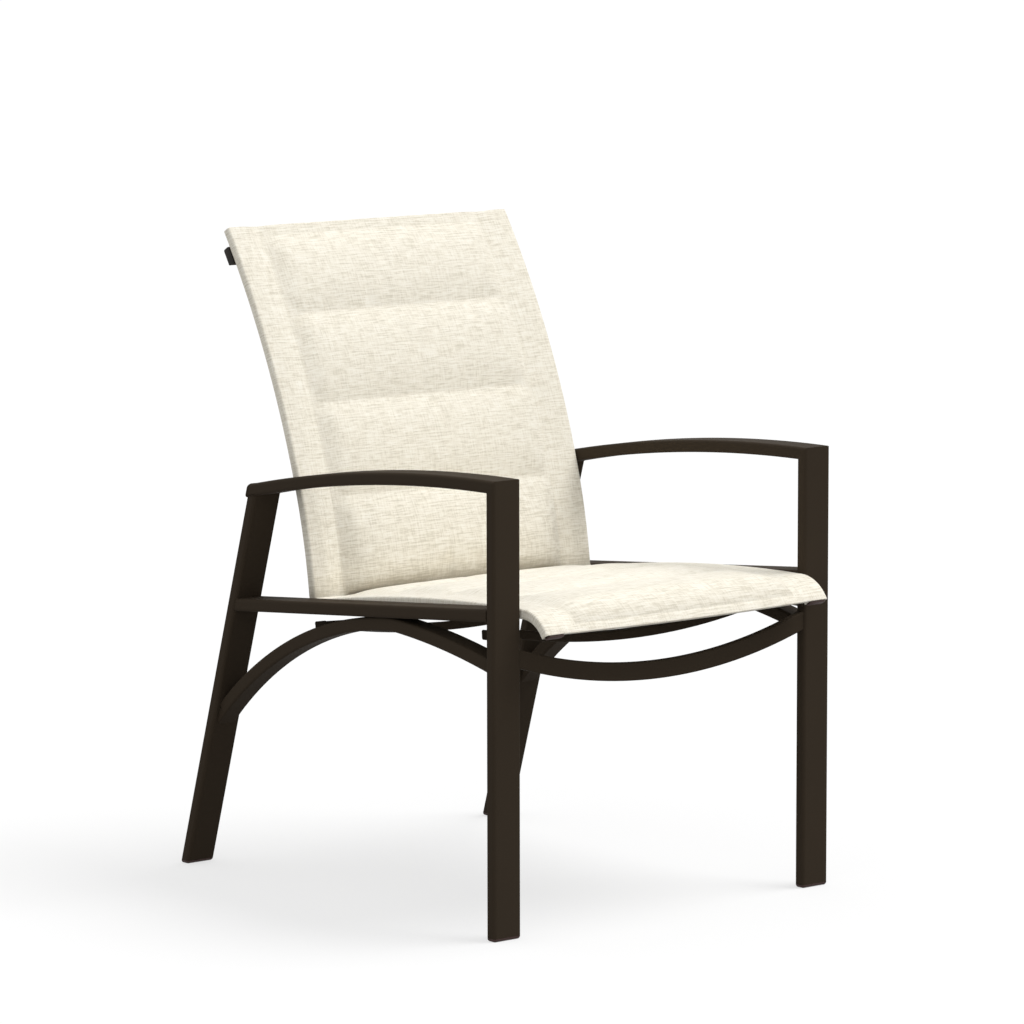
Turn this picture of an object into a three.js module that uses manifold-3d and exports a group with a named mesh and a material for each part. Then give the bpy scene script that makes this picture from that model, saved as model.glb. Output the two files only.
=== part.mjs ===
// Sling patio chair: two tubular side frames, a bowed stretcher and crossbars, and a padded sling that
// two bent rails hold.
// Lengths are millimetres. X runs across the chair, Y from its front to its back, and Z is up.
// Until the last lines, Y = 0 is the front face of the front legs, Z = 0 the floor and X = 0 the middle.
import * as THREE from 'three';
import { mergeVertices } from 'three/addons/utils/BufferGeometryUtils.js';
import Module from 'manifold-3d';

const wasm = await Module();
wasm.setup();

const degree = Math.PI / 180;
const quarterTurn = 90 * degree;

// Fits shared by every joint
const fitGap = 0.3;
const cutOverrun = 4;

// Heights: every drop below is measured down from the seat
const seatHeight = 456;

// Side frames: leg, arm and rail are one flat tube
const overallWidth = 618;
const armHeight = 635;
const tubeWidth = 48;
const tubeThick = 18;
const tubeCorner = 4.8;
const tubeWall = 2;
const armRadius = 2640;
const armPlateThick = 2.5;
const rearLegReach = 709.4;
const rearLegRake = 17 * degree;
const sideRailDrop = 5;
const sideRailSlope = 5.16 * degree;

// Arched tube under each side rail
const archWidth = 33;
const archThick = 19;
const archCorner = 3.5;
const archCrestReach = 248;
const archCrestStraight = 9;
const archBendRadius = 100;
const archFrontRadius = 1263;
const archFrontRise = 3.9 * degree;
const archRearRadius = 632;

// Bowed stretcher between the front legs
const stretcherHeight = 25.4;
const stretcherThick = 12.7;
const stretcherCorner = 2.5;
const stretcherSetback = 2.5;
const stretcherDrop = 122.5;
const stretcherRadius = 847;

// Crossbars under the seat and behind the back
const barDepth = 25.4;
const barThick = 12.7;
const barCorner = 2;
const barWall = 1.6;
const barBowRadius = 1150;
const barBowAngle = 10.4 * degree;
const barEaseRadius = 164;
const barFlatAngle = 2.9 * degree;
const frontBarReach = 60;
const frontBarDrop = 73.1;
const frontBarTilt = 3.5 * degree;
const rearBarReach = 433;
const rearBarDrop = 103.6;
const rearBarTilt = 10 * degree;
const backBarProud = 3;
const backBarDrop = 33;

// Sling rails in the fabric's sleeves
const slingSideGap = 5;
const sleeveWidth = 32;
const sleeveThick = 14.5;
const sleeveCorner = 2.2;
const fabricThick = 1.2;
const railWall = 1.6;
const railCorner = 2.4;
const seatCrestReach = 0;
const kneeRadius = 60;
const kneeAngle = 60 * degree;
const seatRadius = 2659;
const seatAngle = 9.95 * degree;
const hipRadius = 5;
const hipAngle = 93.35 * degree;
const backLowerRadius = 890;
const backLowerAngle = 9.25 * degree;
const backUpperRadius = 1350;
const backUpperAngle = 17.35 * degree;
const sleeveOverhang = 3;

// Padding: borders at the sides, then panels between sewn channels
const borderWidth = 68;
const hemWidth = 24;
const topBorderWidth = 16;
const panelLength = 133;
const panelPuff = 7;
const undersidePuff = 3;
const seamDepth = 1.4;
const sheetThick = 6;

// Plastic feet and end caps
const glideThick = 5;
const glideRound = 3.5;
const glideStemLength = 20;
const capThick = 2;
const capStemLength = 5;
const stemGap = 0.5;

// Cleats and lugs
const plateThick = 2.5;
const cleatLength = 30;
const cleatRise = 11;
const cleatOverlap = 26;
const frontCleatReach = 112;
const rearCleatReach = 385;
const lugHeight = 9;
const lugDrop = 48;
const lugSetback = 3;
const lugOverlap = 12;
const barCleatReach = 22;
const barCleatDrop = 14;

// Button-head screws
const screwRadius = 3;
const screwHeadRadius = 5.5;
const screwHeadThick = 3.2;
const screwSides = 12;
const screwCrownShare = 0.9;
const screwGrip = 3;

function material(color, roughness, metalness) {
  return new THREE.MeshStandardMaterial({ color, roughness, metalness });
}
const powderCoat = material(0x3a332b, 0.42, 0.3);
const slingFabric = material(0xe9e2cf, 0.95, 0);
const footPlastic = material(0x43342f, 0.6, 0);
const screwSteel = material(0x6f6a63, 0.35, 0.9);

const chair = new THREE.Group();

function addPiece(name, geometry, finish) {
  const mesh = new THREE.Mesh(geometry, finish);
  mesh.name = name;
  chair.add(mesh);
  return mesh;
}

// Left is -X. Each side's pieces share one description.
const sides = [
  { tag: 'left', sign: -1 },
  { tag: 'right', sign: 1 },
];

// A closed mesh as a solid that can be joined and cut, and back again
function solidOf(geometry) {
  const bare = geometry.clone();
  bare.deleteAttribute('normal');
  bare.deleteAttribute('uv');
  const welded = mergeVertices(bare);
  const vertProperties = new Float32Array(welded.attributes.position.array);
  const triVerts = new Uint32Array(welded.index.array);
  return new wasm.Manifold(new wasm.Mesh({ numProp: 3, vertProperties, triVerts }));
}

function geometryOf(solid) {
  const mesh = solid.getMesh();
  const geometry = new THREE.BufferGeometry();
  geometry.setAttribute('position', new THREE.BufferAttribute(mesh.vertProperties, 3));
  geometry.setIndex(new THREE.BufferAttribute(mesh.triVerts, 1));
  geometry.computeVertexNormals();
  return geometry;
}

// Rounded rectangle about the origin, counter-clockwise, with the given steps in each corner
function roundedOutline(width, thick, corner, steps = 3) {
  const points = [];
  const centreX = width / 2 - corner;
  const centreY = thick / 2 - corner;
  const corners = [[1, 1], [-1, 1], [-1, -1], [1, -1]];
  corners.forEach(([signX, signY], index) => {
    for (let step = 0; step <= steps; step += 1) {
      const angle = (index + step / steps) * quarterTurn;
      const x = signX * centreX + corner * Math.cos(angle);
      const y = signY * centreY + corner * Math.sin(angle);
      points.push(new THREE.Vector2(x, y));
    }
  });
  return points;
}

// A route lies in the YZ plane. It starts at a place and an angle up from +Y, and follows straight runs
// { length } and bends { radius, turn, steps }, where a turn is positive to the left.
class Route {
  constructor(start, runs) {
    this.start = start;
    this.runs = runs;
  }

  static lengthOf(run) {
    return run.radius ? run.radius * Math.abs(run.turn) : run.length;
  }

  get length() {
    return this.runs.reduce((sum, run) => sum + Route.lengthOf(run), 0);
  }

  at(distance) {
    let { y, z, angle } = this.start;
    let left = distance;
    for (const run of this.runs) {
      const whole = Route.lengthOf(run);
      const used = run === this.runs.at(-1) ? left : Math.min(left, whole);
      if (run.radius) {
        const side = Math.sign(run.turn);
        const next = angle + side * used / run.radius;
        y += side * run.radius * (Math.sin(next) - Math.sin(angle));
        z -= side * run.radius * (Math.cos(next) - Math.cos(angle));
        angle = next;
      } else {
        y += used * Math.cos(angle);
        z += used * Math.sin(angle);
      }
      left -= used;
      if (left <= 0) break;
    }
    return { y, z, angle };
  }

  // Distances of the steps of every bend and the ends of every straight
  get steps() {
    const distances = [0];
    for (const run of this.runs) {
      const from = distances.at(-1);
      const count = run.radius ? run.steps : 1;
      for (let step = 1; step <= count; step += 1) distances.push(from + Route.lengthOf(run) * step / count);
    }
    return distances;
  }
}

// A section's point (u across X, v to the left of the route) at a station of a route
const placed = (point, { y, z, angle }) =>
  new THREE.Vector3(point.x, y - point.y * Math.sin(angle), z + point.y * Math.cos(angle));

// Slides a ring along its station's direction onto a line { y, z, angle } of the YZ plane
function slideTo(ring, station, line) {
  const run = new THREE.Vector2(Math.cos(station.angle), Math.sin(station.angle));
  const normal = new THREE.Vector2(-Math.sin(line.angle), Math.cos(line.angle));
  for (const point of ring) {
    const away = (line.y - point.y) * normal.x + (line.z - point.z) * normal.y;
    const slide = away / normal.dot(run);
    point.y += slide * run.x;
    point.z += slide * run.y;
  }
}

// Closed solid through rings of equal counts. loops holds one array of rings for the outside and, on a tube,
// one for its bore; outline and bore are the flat loops that shape the two end faces.
function loft(loops, outline, bore = []) {
  const positions = [];
  const indices = [];
  const starts = [];
  for (const rings of loops) {
    const count = rings[0].length;
    const start = positions.length / 3;
    starts.push(start);
    for (const ring of rings) for (const point of ring) positions.push(point.x, point.y, point.z);
    for (let ring = 0; ring + 1 < rings.length; ring += 1) {
      for (let step = 0; step < count; step += 1) {
        const here = start + ring * count + step;
        const beside = start + ring * count + (step + 1) % count;
        indices.push(here, here + count, beside, beside, here + count, beside + count);
      }
    }
  }
  const flat = [...outline, ...bore];
  const faces = THREE.ShapeUtils.triangulateShape(outline, bore.length ? [bore] : []);
  const corner = (index, atEnd) => {
    const inBore = index >= outline.length;
    const rings = loops[inBore ? 1 : 0];
    const within = inBore ? index - outline.length : index;
    return starts[inBore ? 1 : 0] + (atEnd ? (rings.length - 1) * rings[0].length : 0) + within;
  };
  for (const [a, b, c] of faces) {
    const area = flat[b].clone().sub(flat[a]).cross(flat[c].clone().sub(flat[a]));
    const [first, second, third] = area > 0 ? [a, b, c] : [a, c, b];
    indices.push(corner(first, false), corner(second, false), corner(third, false));
    indices.push(corner(first, true), corner(third, true), corner(second, true));
  }
  const geometry = new THREE.BufferGeometry();
  geometry.setAttribute('position', new THREE.Float32BufferAttribute(positions, 3));
  geometry.setIndex(indices);
  geometry.computeVertexNormals();
  return geometry;
}

// Bar or open tube along a route. startLine and endLine, where given, are the lines that cut its ends.
function sweep(route, outline, bore, startLine, endLine) {
  const stations = route.steps.map((distance) => route.at(distance));
  const loops = (bore ? [outline, [...bore].reverse()] : [outline]).map((loop) => {
    const rings = stations.map((station) => loop.map((point) => placed(point, station)));
    if (startLine) slideTo(rings[0], stations[0], startLine);
    if (endLine) slideTo(rings.at(-1), stations.at(-1), endLine);
    return rings;
  });
  return loft(loops, outline, bore ? [...bore].reverse() : []);
}

// Distance from a point along an angle to a circle's far side
function distanceToCircle(point, angle, centre, radius) {
  const offsetY = point.y - centre.y;
  const offsetZ = point.z - centre.z;
  const along = offsetY * Math.cos(angle) + offsetZ * Math.sin(angle);
  const inside = radius ** 2 - offsetY ** 2 - offsetZ ** 2;
  return Math.sqrt(along ** 2 + inside) - along;
}

// The line moved to its left by a distance
const movedLine = ({ y, z, angle }, distance) =>
  ({ y: y - distance * Math.sin(angle), z: z + distance * Math.cos(angle), angle });

// The point a distance on from a place, and the same angle
const lineAt = ({ y, z, angle }, distance) =>
  ({ y: y + distance * Math.cos(angle), z: z + distance * Math.sin(angle), angle });

// Flat shape of the YZ plane, given a width centred on X = 0
function acrossX(shape, width) {
  const geometry = new THREE.ExtrudeGeometry(shape, { depth: width, bevelEnabled: false });
  return geometry.rotateX(quarterTurn).rotateZ(quarterTurn).translate(-width / 2, 0, 0);
}

// Flat shape of the XZ plane, given a length centred on Y = 0
function alongY(shape, length) {
  const geometry = new THREE.ExtrudeGeometry(shape, { depth: length, bevelEnabled: false });
  return geometry.rotateX(quarterTurn).translate(0, length / 2, 0);
}

const shapeOf = (points) => new THREE.Shape(points.map(([x, y]) => new THREE.Vector2(x, y)));

// Cylinder along +Z from one height to another
function roundBar(radius, low, high) {
  const bar = new THREE.CylinderGeometry(radius, radius, high - low, screwSides);
  return bar.rotateX(quarterTurn).translate(0, 0, (low + high) / 2);
}

// Sizes that follow from the ones above
const frameInside = overallWidth / 2 - tubeWidth;
const frameMiddle = (overallWidth - tubeWidth) / 2;
const tubeOutline = roundedOutline(tubeWidth, tubeThick, tubeCorner);
const boreWidth = tubeWidth - 2 * tubeWall;
const boreThick = tubeThick - 2 * tubeWall;
const boreCorner = tubeCorner - tubeWall;
const tubeBore = roundedOutline(boreWidth, boreThick, boreCorner, 1);
const rearLegAngle = quarterTurn + rearLegRake;
const rearLegFront = { y: rearLegReach, z: 0, angle: rearLegAngle };
const rearLegBack = movedLine(rearLegFront, -tubeThick);
const rearLegMiddle = movedLine(rearLegFront, -tubeThick / 2);
const armCentre = { y: 0, z: armHeight - armRadius };

// Front legs, mitred to the arms
const legFoot = glideThick + fitGap;
const mitre = { y: 0, z: armHeight, angle: -quarterTurn / 2 };
const frontLegRoute = new Route({ y: tubeThick / 2, z: legFoot, angle: quarterTurn }, [
  { length: armHeight - tubeThick - legFoot },
]);
for (const { tag, sign } of sides) {
  const leg = sweep(frontLegRoute, tubeOutline, tubeBore, null, movedLine(mitre, -fitGap / 2));
  addPiece(`front_leg_${tag}`, leg, powderCoat).position.x = sign * frameMiddle;
}

// Arms, one arc each, level at the front and cut in line with the back of the rear legs
const armLength = distanceToCircle(rearLegBack, rearLegAngle, armCentre, armRadius);
const armEndY = rearLegBack.y + armLength * Math.cos(rearLegAngle);
const armRoute = new Route({ y: 0, z: armHeight - tubeThick / 2, angle: 0 }, [
  { radius: armRadius - tubeThick / 2, turn: -Math.asin(armEndY / armRadius), steps: 10 },
]);
for (const { tag, sign } of sides) {
  const arm = sweep(armRoute, tubeOutline, tubeBore, movedLine(mitre, fitGap / 2), rearLegBack);
  addPiece(`arm_${tag}`, arm, powderCoat).position.x = sign * frameMiddle;
}

// Plates that close the arms' cut ends
const armEnd = armRoute.at(armRoute.length);
const armEndStart = movedLine(rearLegBack, -fitGap);
const armEndPlate = new Route(lineAt(armEnd, fitGap), [{ length: armPlateThick }]);
for (const { tag, sign } of sides) {
  const plate = sweep(armEndPlate, tubeOutline, null, armEndStart, movedLine(armEndStart, -armPlateThick));
  addPiece(`arm_end_${tag}`, plate, powderCoat).position.x = sign * frameMiddle;
}

// Rear legs, raked, under the arms
const floorCut = { y: 0, z: legFoot, angle: 0 };
const underArm = distanceToCircle(rearLegMiddle, rearLegAngle, armCentre, armRadius - tubeThick);
const legTop = {
  y: rearLegMiddle.y + underArm * Math.cos(rearLegAngle),
  z: rearLegMiddle.z + underArm * Math.sin(rearLegAngle),
};
legTop.angle = -Math.asin(legTop.y / (armRadius - tubeThick));
const rearLegRoute = new Route(rearLegMiddle, [{ length: underArm }]);
for (const { tag, sign } of sides) {
  const leg = sweep(rearLegRoute, tubeOutline, tubeBore, floorCut, movedLine(legTop, -fitGap));
  addPiece(`rear_leg_${tag}`, leg, powderCoat).position.x = sign * frameMiddle;
}

// Side rails between the legs, and the arched tubes that brace them from below
const frontLegBack = { y: tubeThick + fitGap, z: 0, angle: quarterTurn };
const rearLegFace = movedLine(rearLegFront, fitGap);
const sideRailStart = {
  y: frontLegBack.y,
  z: seatHeight - sideRailDrop - frontLegBack.y * Math.tan(sideRailSlope),
  angle: -sideRailSlope,
};

// Distance from a point along an angle to a line
function distanceToLine(point, angle, line) {
  const reach = (line.y - point.y) * Math.sin(line.angle) - (line.z - point.z) * Math.cos(line.angle);
  return reach / Math.sin(line.angle - angle);
}

const sideRailLength = distanceToLine(sideRailStart, -sideRailSlope, rearLegFace);
const sideRailRoute = new Route(sideRailStart, [{ length: sideRailLength }]);
for (const { tag, sign } of sides) {
  const rail = sweep(sideRailRoute, tubeOutline, tubeBore, frontLegBack, rearLegFace);
  addPiece(`side_rail_${tag}`, rail, powderCoat).position.x = sign * frameMiddle;
}

const archOutline = roundedOutline(archWidth, archThick, archCorner, 2);
const archBoreWidth = archWidth - 2 * tubeWall;
const archBore = roundedOutline(archBoreWidth, archThick - 2 * tubeWall, archCorner - tubeWall, 1);
const archDrop = tubeThick / 2 + fitGap + archThick / 2;
const archCrestAlong = (archCrestReach - sideRailStart.y) / Math.cos(sideRailSlope);
const archCrest = movedLine(lineAt(sideRailStart, archCrestAlong), -archDrop);
// From the crest forward: a tight bend, then the long front arc down to the leg
const archFrontBend = new Route({ ...archCrest, angle: Math.PI - sideRailSlope }, [
  { radius: archBendRadius, turn: sideRailSlope + archFrontRise, steps: 3 },
]);
const archFrontTop = archFrontBend.at(archFrontBend.length);
const archFrontTurn = Math.asin(
  Math.sin(archFrontRise) + (archFrontTop.y - frontLegBack.y) / archFrontRadius,
) - archFrontRise;
const archFront = new Route(archFrontTop, [{ radius: archFrontRadius, turn: archFrontTurn, steps: 6 }]);
const archFrontEnd = archFront.at(archFront.length);
// From the crest back: a short straight on the side rail, then the rear arc down to the leg
const archStraightEnd = lineAt(archCrest, archCrestStraight);
const archRearCentre = movedLine(archStraightEnd, -archRearRadius);
const archRearReach = distanceToCircle(rearLegFace, rearLegAngle, archRearCentre, archRearRadius);
const archRearEndY = rearLegFace.y + archRearReach * Math.cos(rearLegAngle);
const archRearTurn = Math.asin((archRearEndY - archRearCentre.y) / archRearRadius) - sideRailSlope;
const archRoute = new Route({ ...archFrontEnd, angle: archFrontEnd.angle - Math.PI }, [
  { radius: archFrontRadius, turn: -archFrontTurn, steps: 6 },
  { radius: archBendRadius, turn: -(archFrontRise + sideRailSlope), steps: 2 },
  { length: archCrestStraight },
  { radius: archRearRadius, turn: -archRearTurn, steps: 9 },
]);
for (const { tag, sign } of sides) {
  const arch = sweep(archRoute, archOutline, archBore, frontLegBack, rearLegFace);
  addPiece(`side_arch_${tag}`, arch, powderCoat).position.x = sign * frameMiddle;
}

// Front stretcher, one sagging arc between the legs' inner faces
const stretcherHalf = frameInside - fitGap;
const stretcherTurn = Math.asin(stretcherHalf / stretcherRadius);
const stretcherRise = stretcherRadius * (1 - Math.cos(stretcherTurn));
const stretcherMiddle = seatHeight - stretcherDrop + stretcherHeight / 2;
const stretcherEnd = { y: -stretcherHalf, z: stretcherMiddle + stretcherRise, angle: -stretcherTurn };
const stretcherRoute = new Route(stretcherEnd, [
  { radius: stretcherRadius, turn: 2 * stretcherTurn, steps: 14 },
]);
const stretcherOutline = roundedOutline(stretcherThick, stretcherHeight, stretcherCorner, 2);
const stretcherBore = roundedOutline(
  stretcherThick - 2 * barWall,
  stretcherHeight - 2 * barWall,
  stretcherCorner - barWall,
  1,
);
const upright = (y) => ({ y, z: 0, angle: quarterTurn });
const stretcherTube = sweep(
  stretcherRoute,
  stretcherOutline,
  stretcherBore,
  upright(-stretcherHalf),
  upright(stretcherHalf),
);
const stretcher = addPiece('front_stretcher', stretcherTube.rotateZ(-quarterTurn), powderCoat);
stretcher.position.y = stretcherSetback + stretcherThick / 2;

// Seat crossbars: bowed down in the middle, eased to nearly level ends, and tilted with the seat
const barHalf = frameInside - fitGap - plateThick - fitGap;
const barBow = barBowRadius * Math.sin(barBowAngle);
const barEase = barEaseRadius * (Math.sin(barBowAngle) - Math.sin(barFlatAngle));
const barFlat = (barHalf - barBow - barEase) / Math.cos(barFlatAngle);
const barRise = barBowRadius * (1 - Math.cos(barBowAngle))
  + barEaseRadius * (Math.cos(barFlatAngle) - Math.cos(barBowAngle))
  + barFlat * Math.sin(barFlatAngle);
const barEaseTurn = barBowAngle - barFlatAngle;
const barRoute = new Route({ y: -barHalf, z: barRise, angle: -barFlatAngle }, [
  { length: barFlat },
  { radius: barEaseRadius, turn: -barEaseTurn, steps: 2 },
  { radius: barBowRadius, turn: 2 * barBowAngle, steps: 8 },
  { radius: barEaseRadius, turn: -barEaseTurn, steps: 2 },
  { length: barFlat },
]);
const barOutline = roundedOutline(barDepth, barThick, barCorner, 2);
const barBore = roundedOutline(barDepth - 2 * barWall, barThick - 2 * barWall, barCorner - barWall, 1);
const seatBars = [
  { tag: 'front', reach: frontBarReach, drop: frontBarDrop, tilt: frontBarTilt },
  { tag: 'rear', reach: rearBarReach, drop: rearBarDrop, tilt: rearBarTilt },
];
const acrossAxis = new THREE.Vector3(1, 0, 0);
for (const bar of seatBars) {
  const tube = sweep(barRoute, barOutline, barBore, upright(-barHalf), upright(barHalf));
  const mesh = addPiece(`seat_crossbar_${bar.tag}`, tube.rotateZ(-quarterTurn), powderCoat);
  bar.middle = new THREE.Vector3(0, barDepth / 2, barThick / 2).applyAxisAngle(acrossAxis, -bar.tilt);
  bar.middle.add(new THREE.Vector3(0, bar.reach, seatHeight - bar.drop));
  mesh.position.copy(bar.middle);
  mesh.rotation.x = -bar.tilt;
}

// Sling rails: one bent tube a side, from the front drop over the seat and up the back
const sleeveHalf = sleeveThick / 2;
const kneeTop = { y: seatCrestReach, z: seatHeight - sleeveHalf };
const kneeCentreRadius = kneeRadius - sleeveHalf;
const railRoute = new Route(
  {
    y: kneeTop.y - kneeCentreRadius * Math.sin(kneeAngle),
    z: kneeTop.z - kneeCentreRadius * (1 - Math.cos(kneeAngle)),
    angle: kneeAngle,
  },
  [
    { radius: kneeCentreRadius, turn: -kneeAngle, steps: 5 },
    { radius: seatRadius - sleeveHalf, turn: -seatAngle, steps: 5 },
    { radius: hipRadius + sleeveHalf, turn: hipAngle, steps: 6 },
    { radius: backLowerRadius - sleeveHalf, turn: -backLowerAngle, steps: 4 },
    { radius: backUpperRadius - sleeveHalf, turn: -backUpperAngle, steps: 6 },
  ],
);
const kneeLength = Route.lengthOf(railRoute.runs[0]);
const seatLength = Route.lengthOf(railRoute.runs[1]);
const hipMiddle = kneeLength + seatLength + Route.lengthOf(railRoute.runs[2]) / 2;
const slingHalf = frameInside - slingSideGap;
const sleeveMiddle = slingHalf - sleeveWidth / 2;
const tunnelWidth = sleeveWidth - 2 * fabricThick;
const tunnelThick = sleeveThick - 2 * fabricThick;
const railWidth = tunnelWidth - 2 * fitGap;
const railThick = tunnelThick - 2 * fitGap;
const railOutline = roundedOutline(railWidth, railThick, railCorner, 1);
const railBoreWidth = railWidth - 2 * railWall;
const railBoreThick = railThick - 2 * railWall;
const railBore = roundedOutline(railBoreWidth, railBoreThick, railCorner - railWall, 1);
const tunnelOutline = roundedOutline(tunnelWidth, tunnelThick, railCorner + fitGap, 1);

// Screws: each has a place on the rail's route, and passes from the underside of the sleeve into the rail
const seatDistance = (reach) => kneeLength + (seatRadius - sleeveHalf) * Math.asin(
  (reach - seatCrestReach) / (seatRadius - sleeveHalf),
);
const cleatPlaces = [
  { tag: 'front', distance: seatDistance(frontCleatReach) },
  { tag: 'rear', distance: seatDistance(rearCleatReach) },
];
const backBarDistance = railRoute.length - backBarDrop;
const screwClearance = screwRadius + fitGap;

// Moves geometry made at the origin, its +Z to the left of the route, to a place on the route
function onRoute(geometry, distance, x) {
  const station = railRoute.at(distance);
  return geometry.rotateX(station.angle).translate(x, station.y, station.z);
}

const screwDistances = [...cleatPlaces.map((place) => place.distance), backBarDistance];
const screwHoles = (sign) => screwDistances.map((distance) =>
  solidOf(onRoute(roundBar(screwClearance, -sleeveThick, 0), distance, sign * sleeveMiddle)));

const cutAll = (solid, cutters) => cutters.reduce((rest, cutter) => rest.subtract(cutter), solid);

for (const { tag, sign } of sides) {
  const tube = sweep(railRoute, railOutline, railBore).translate(sign * sleeveMiddle, 0, 0);
  const drilled = cutAll(solidOf(tube), screwHoles(sign));
  addPiece(`sling_rail_${tag}`, geometryOf(drilled), powderCoat);
}

// Padded sling. A panel is full between its seams and pinched at them.
const plump = (share) => Math.sqrt(Math.max(0, 1 - Math.abs(2 * share - 1) ** 3));

// How full the panel is at a distance along the sling, for seams in rising order
function fullnessAt(distance, seams) {
  const next = seams.findIndex((seam) => seam > distance);
  if (next <= 0) return 0;
  return plump((distance - seams[next - 1]) / (seams[next] - seams[next - 1]));
}

// Loop of the sling's section at one distance: the underside from left to right, then the top back again
const creaseHalf = slingHalf - borderWidth;
const crossShares = [0, 0.04, 0.18, 0.5, 0.82, 0.96, 1];
const undersideShares = [0, 0.1, 0.5, 0.9, 1];
function slingLoop(fullness, seamHere) {
  const sheetLow = sleeveHalf - sheetThick;
  const inner = slingHalf - sleeveWidth;
  const round = sleeveCorner * (1 - Math.SQRT1_2);
  const half = [
    [inner, sheetLow],
    [inner, -sleeveHalf + round],
    [inner + round, -sleeveHalf],
    [slingHalf - sleeveCorner, -sleeveHalf],
    [slingHalf, -sleeveHalf + sleeveCorner],
    [slingHalf, sleeveHalf - sleeveCorner],
    [slingHalf - sleeveCorner, sleeveHalf],
  ];
  const underside = undersideShares.map((share) =>
    [(2 * share - 1) * creaseHalf, sheetLow - undersidePuff * fullness * plump(share)]);
  const top = crossShares.map((share) => {
    const seam = share === 0 || share === 1 || seamHere ? seamDepth : 0;
    return [(1 - 2 * share) * creaseHalf, sleeveHalf - seam + (panelPuff + seam) * fullness * plump(share)];
  });
  const mirrored = [...half].reverse().map(([x, y]) => [-x, y]);
  return [...underside, ...half, ...top, ...mirrored].map(([x, y]) => new THREE.Vector2(x, y));
}

// Steps of the sling in the two tight bends, at the knee and at the hip
const tightSteps = railRoute.steps.filter((distance) =>
  distance <= kneeLength || Math.abs(distance - hipMiddle) <= Route.lengthOf(railRoute.runs[2]));
const panelShares = [0, 0.07, 0.3, 0.7, 0.93];
function slingSolid(from, to, seams) {
  const distances = tightSteps.filter((distance) => distance > from && distance < to);
  for (let index = 0; index + 1 < seams.length; index += 1) {
    const span = seams[index + 1] - seams[index];
    for (const share of panelShares) distances.push(seams[index] + share * span);
  }
  distances.push(from, to, seams.at(-1));
  distances.sort((a, b) => a - b);
  const spaced = distances.filter((distance, index) =>
    index === 0 || distance - distances[index - 1] > fitGap);
  const loops = spaced.map((distance) => {
    const seamHere = seams.some((seam) => Math.abs(seam - distance) < fitGap);
    return slingLoop(fullnessAt(distance, seams), seamHere);
  });
  const rings = loops.map((loop, index) => loop.map((point) => placed(point, railRoute.at(spaced[index]))));
  const padded = solidOf(loft([rings], loops[0]));
  const tunnels = sides.flatMap(({ sign }) => {
    const tunnel = sweep(tunnelRoute, tunnelOutline).translate(sign * sleeveMiddle, 0, 0);
    return [solidOf(tunnel), ...screwHoles(sign)];
  });
  return geometryOf(cutAll(padded, tunnels));
}

// The tunnels follow the rails and run out through both ends of the sling
const railStart = railRoute.at(0);
const tunnelRoute = new Route(
  {
    y: railStart.y - cutOverrun * Math.cos(railStart.angle),
    z: railStart.z - cutOverrun * Math.sin(railStart.angle),
    angle: railStart.angle,
  },
  [{ length: cutOverrun }, ...railRoute.runs, { length: sleeveOverhang + cutOverrun }],
);
const slingSplit = fitGap / 2;
const seatSeams = [0, 1, 2, 3].map((panel) => hemWidth + panel * panelLength);
const seatEnd = hipMiddle - slingSplit;
const backStart = hipMiddle + slingSplit;
const slingEnd = railRoute.length + sleeveOverhang;
const topSeam = slingEnd - topBorderWidth;
const backSeams = [3, 2, 1, 0].map((panel) => topSeam - panel * panelLength);
addPiece('seat_sling', slingSolid(0, seatEnd, [...seatSeams, seatEnd]), slingFabric);
addPiece('back_sling', slingSolid(backStart, slingEnd, [backStart, ...backSeams]), slingFabric);

// Caps that close the rails. The lower ones show below the sleeves, and the upper ones sit inside them.
const capOutline = new THREE.Shape(railOutline);
const railStemWidth = railBoreWidth - 2 * stemGap;
const railStemThick = railBoreThick - 2 * stemGap;
const capStem = new THREE.Shape(roundedOutline(railStemWidth, railStemThick, railCorner - railWall, 1));
const extrude = (shape, depth) => new THREE.ExtrudeGeometry(shape, { depth, bevelEnabled: false });
function stemmedCap(face, stem, thick, stemLength) {
  const plate = solidOf(extrude(face, thick).translate(0, 0, fitGap));
  const plug = solidOf(extrude(stem, stemLength + thick / 2).translate(0, 0, fitGap - stemLength));
  return geometryOf(plate.add(plug));
}
for (const { tag, sign } of sides) {
  const ends = [
    { where: 'front', distance: 0, turn: quarterTurn },
    { where: 'top', distance: railRoute.length, turn: -quarterTurn },
  ];
  for (const { where, distance, turn } of ends) {
    const cap = stemmedCap(capOutline, capStem, capThick, capStemLength).rotateX(turn);
    addPiece(`rail_cap_${where}_${tag}`, onRoute(cap, distance, sign * sleeveMiddle), footPlastic);
  }
}

// Crossbar behind the back, with its end caps and screws
const backBarHalf = slingHalf + backBarProud;
const backBarOffset = -(sleeveHalf + fitGap + barThick / 2);
const backBarTube = sweep(
  new Route({ y: -backBarHalf + capThick + fitGap, z: 0, angle: 0 }, [
    { length: 2 * (backBarHalf - capThick - fitGap) },
  ]),
  barOutline,
  barBore,
).rotateZ(-quarterTurn);
const backBarHoles = sides.map(({ sign }) =>
  solidOf(roundBar(screwClearance, -barThick, barThick).translate(sign * sleeveMiddle, 0, 0)));
const backBar = geometryOf(cutAll(solidOf(backBarTube), backBarHoles)).translate(0, 0, backBarOffset);
addPiece('back_crossbar', onRoute(backBar, backBarDistance, 0), powderCoat);

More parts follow.
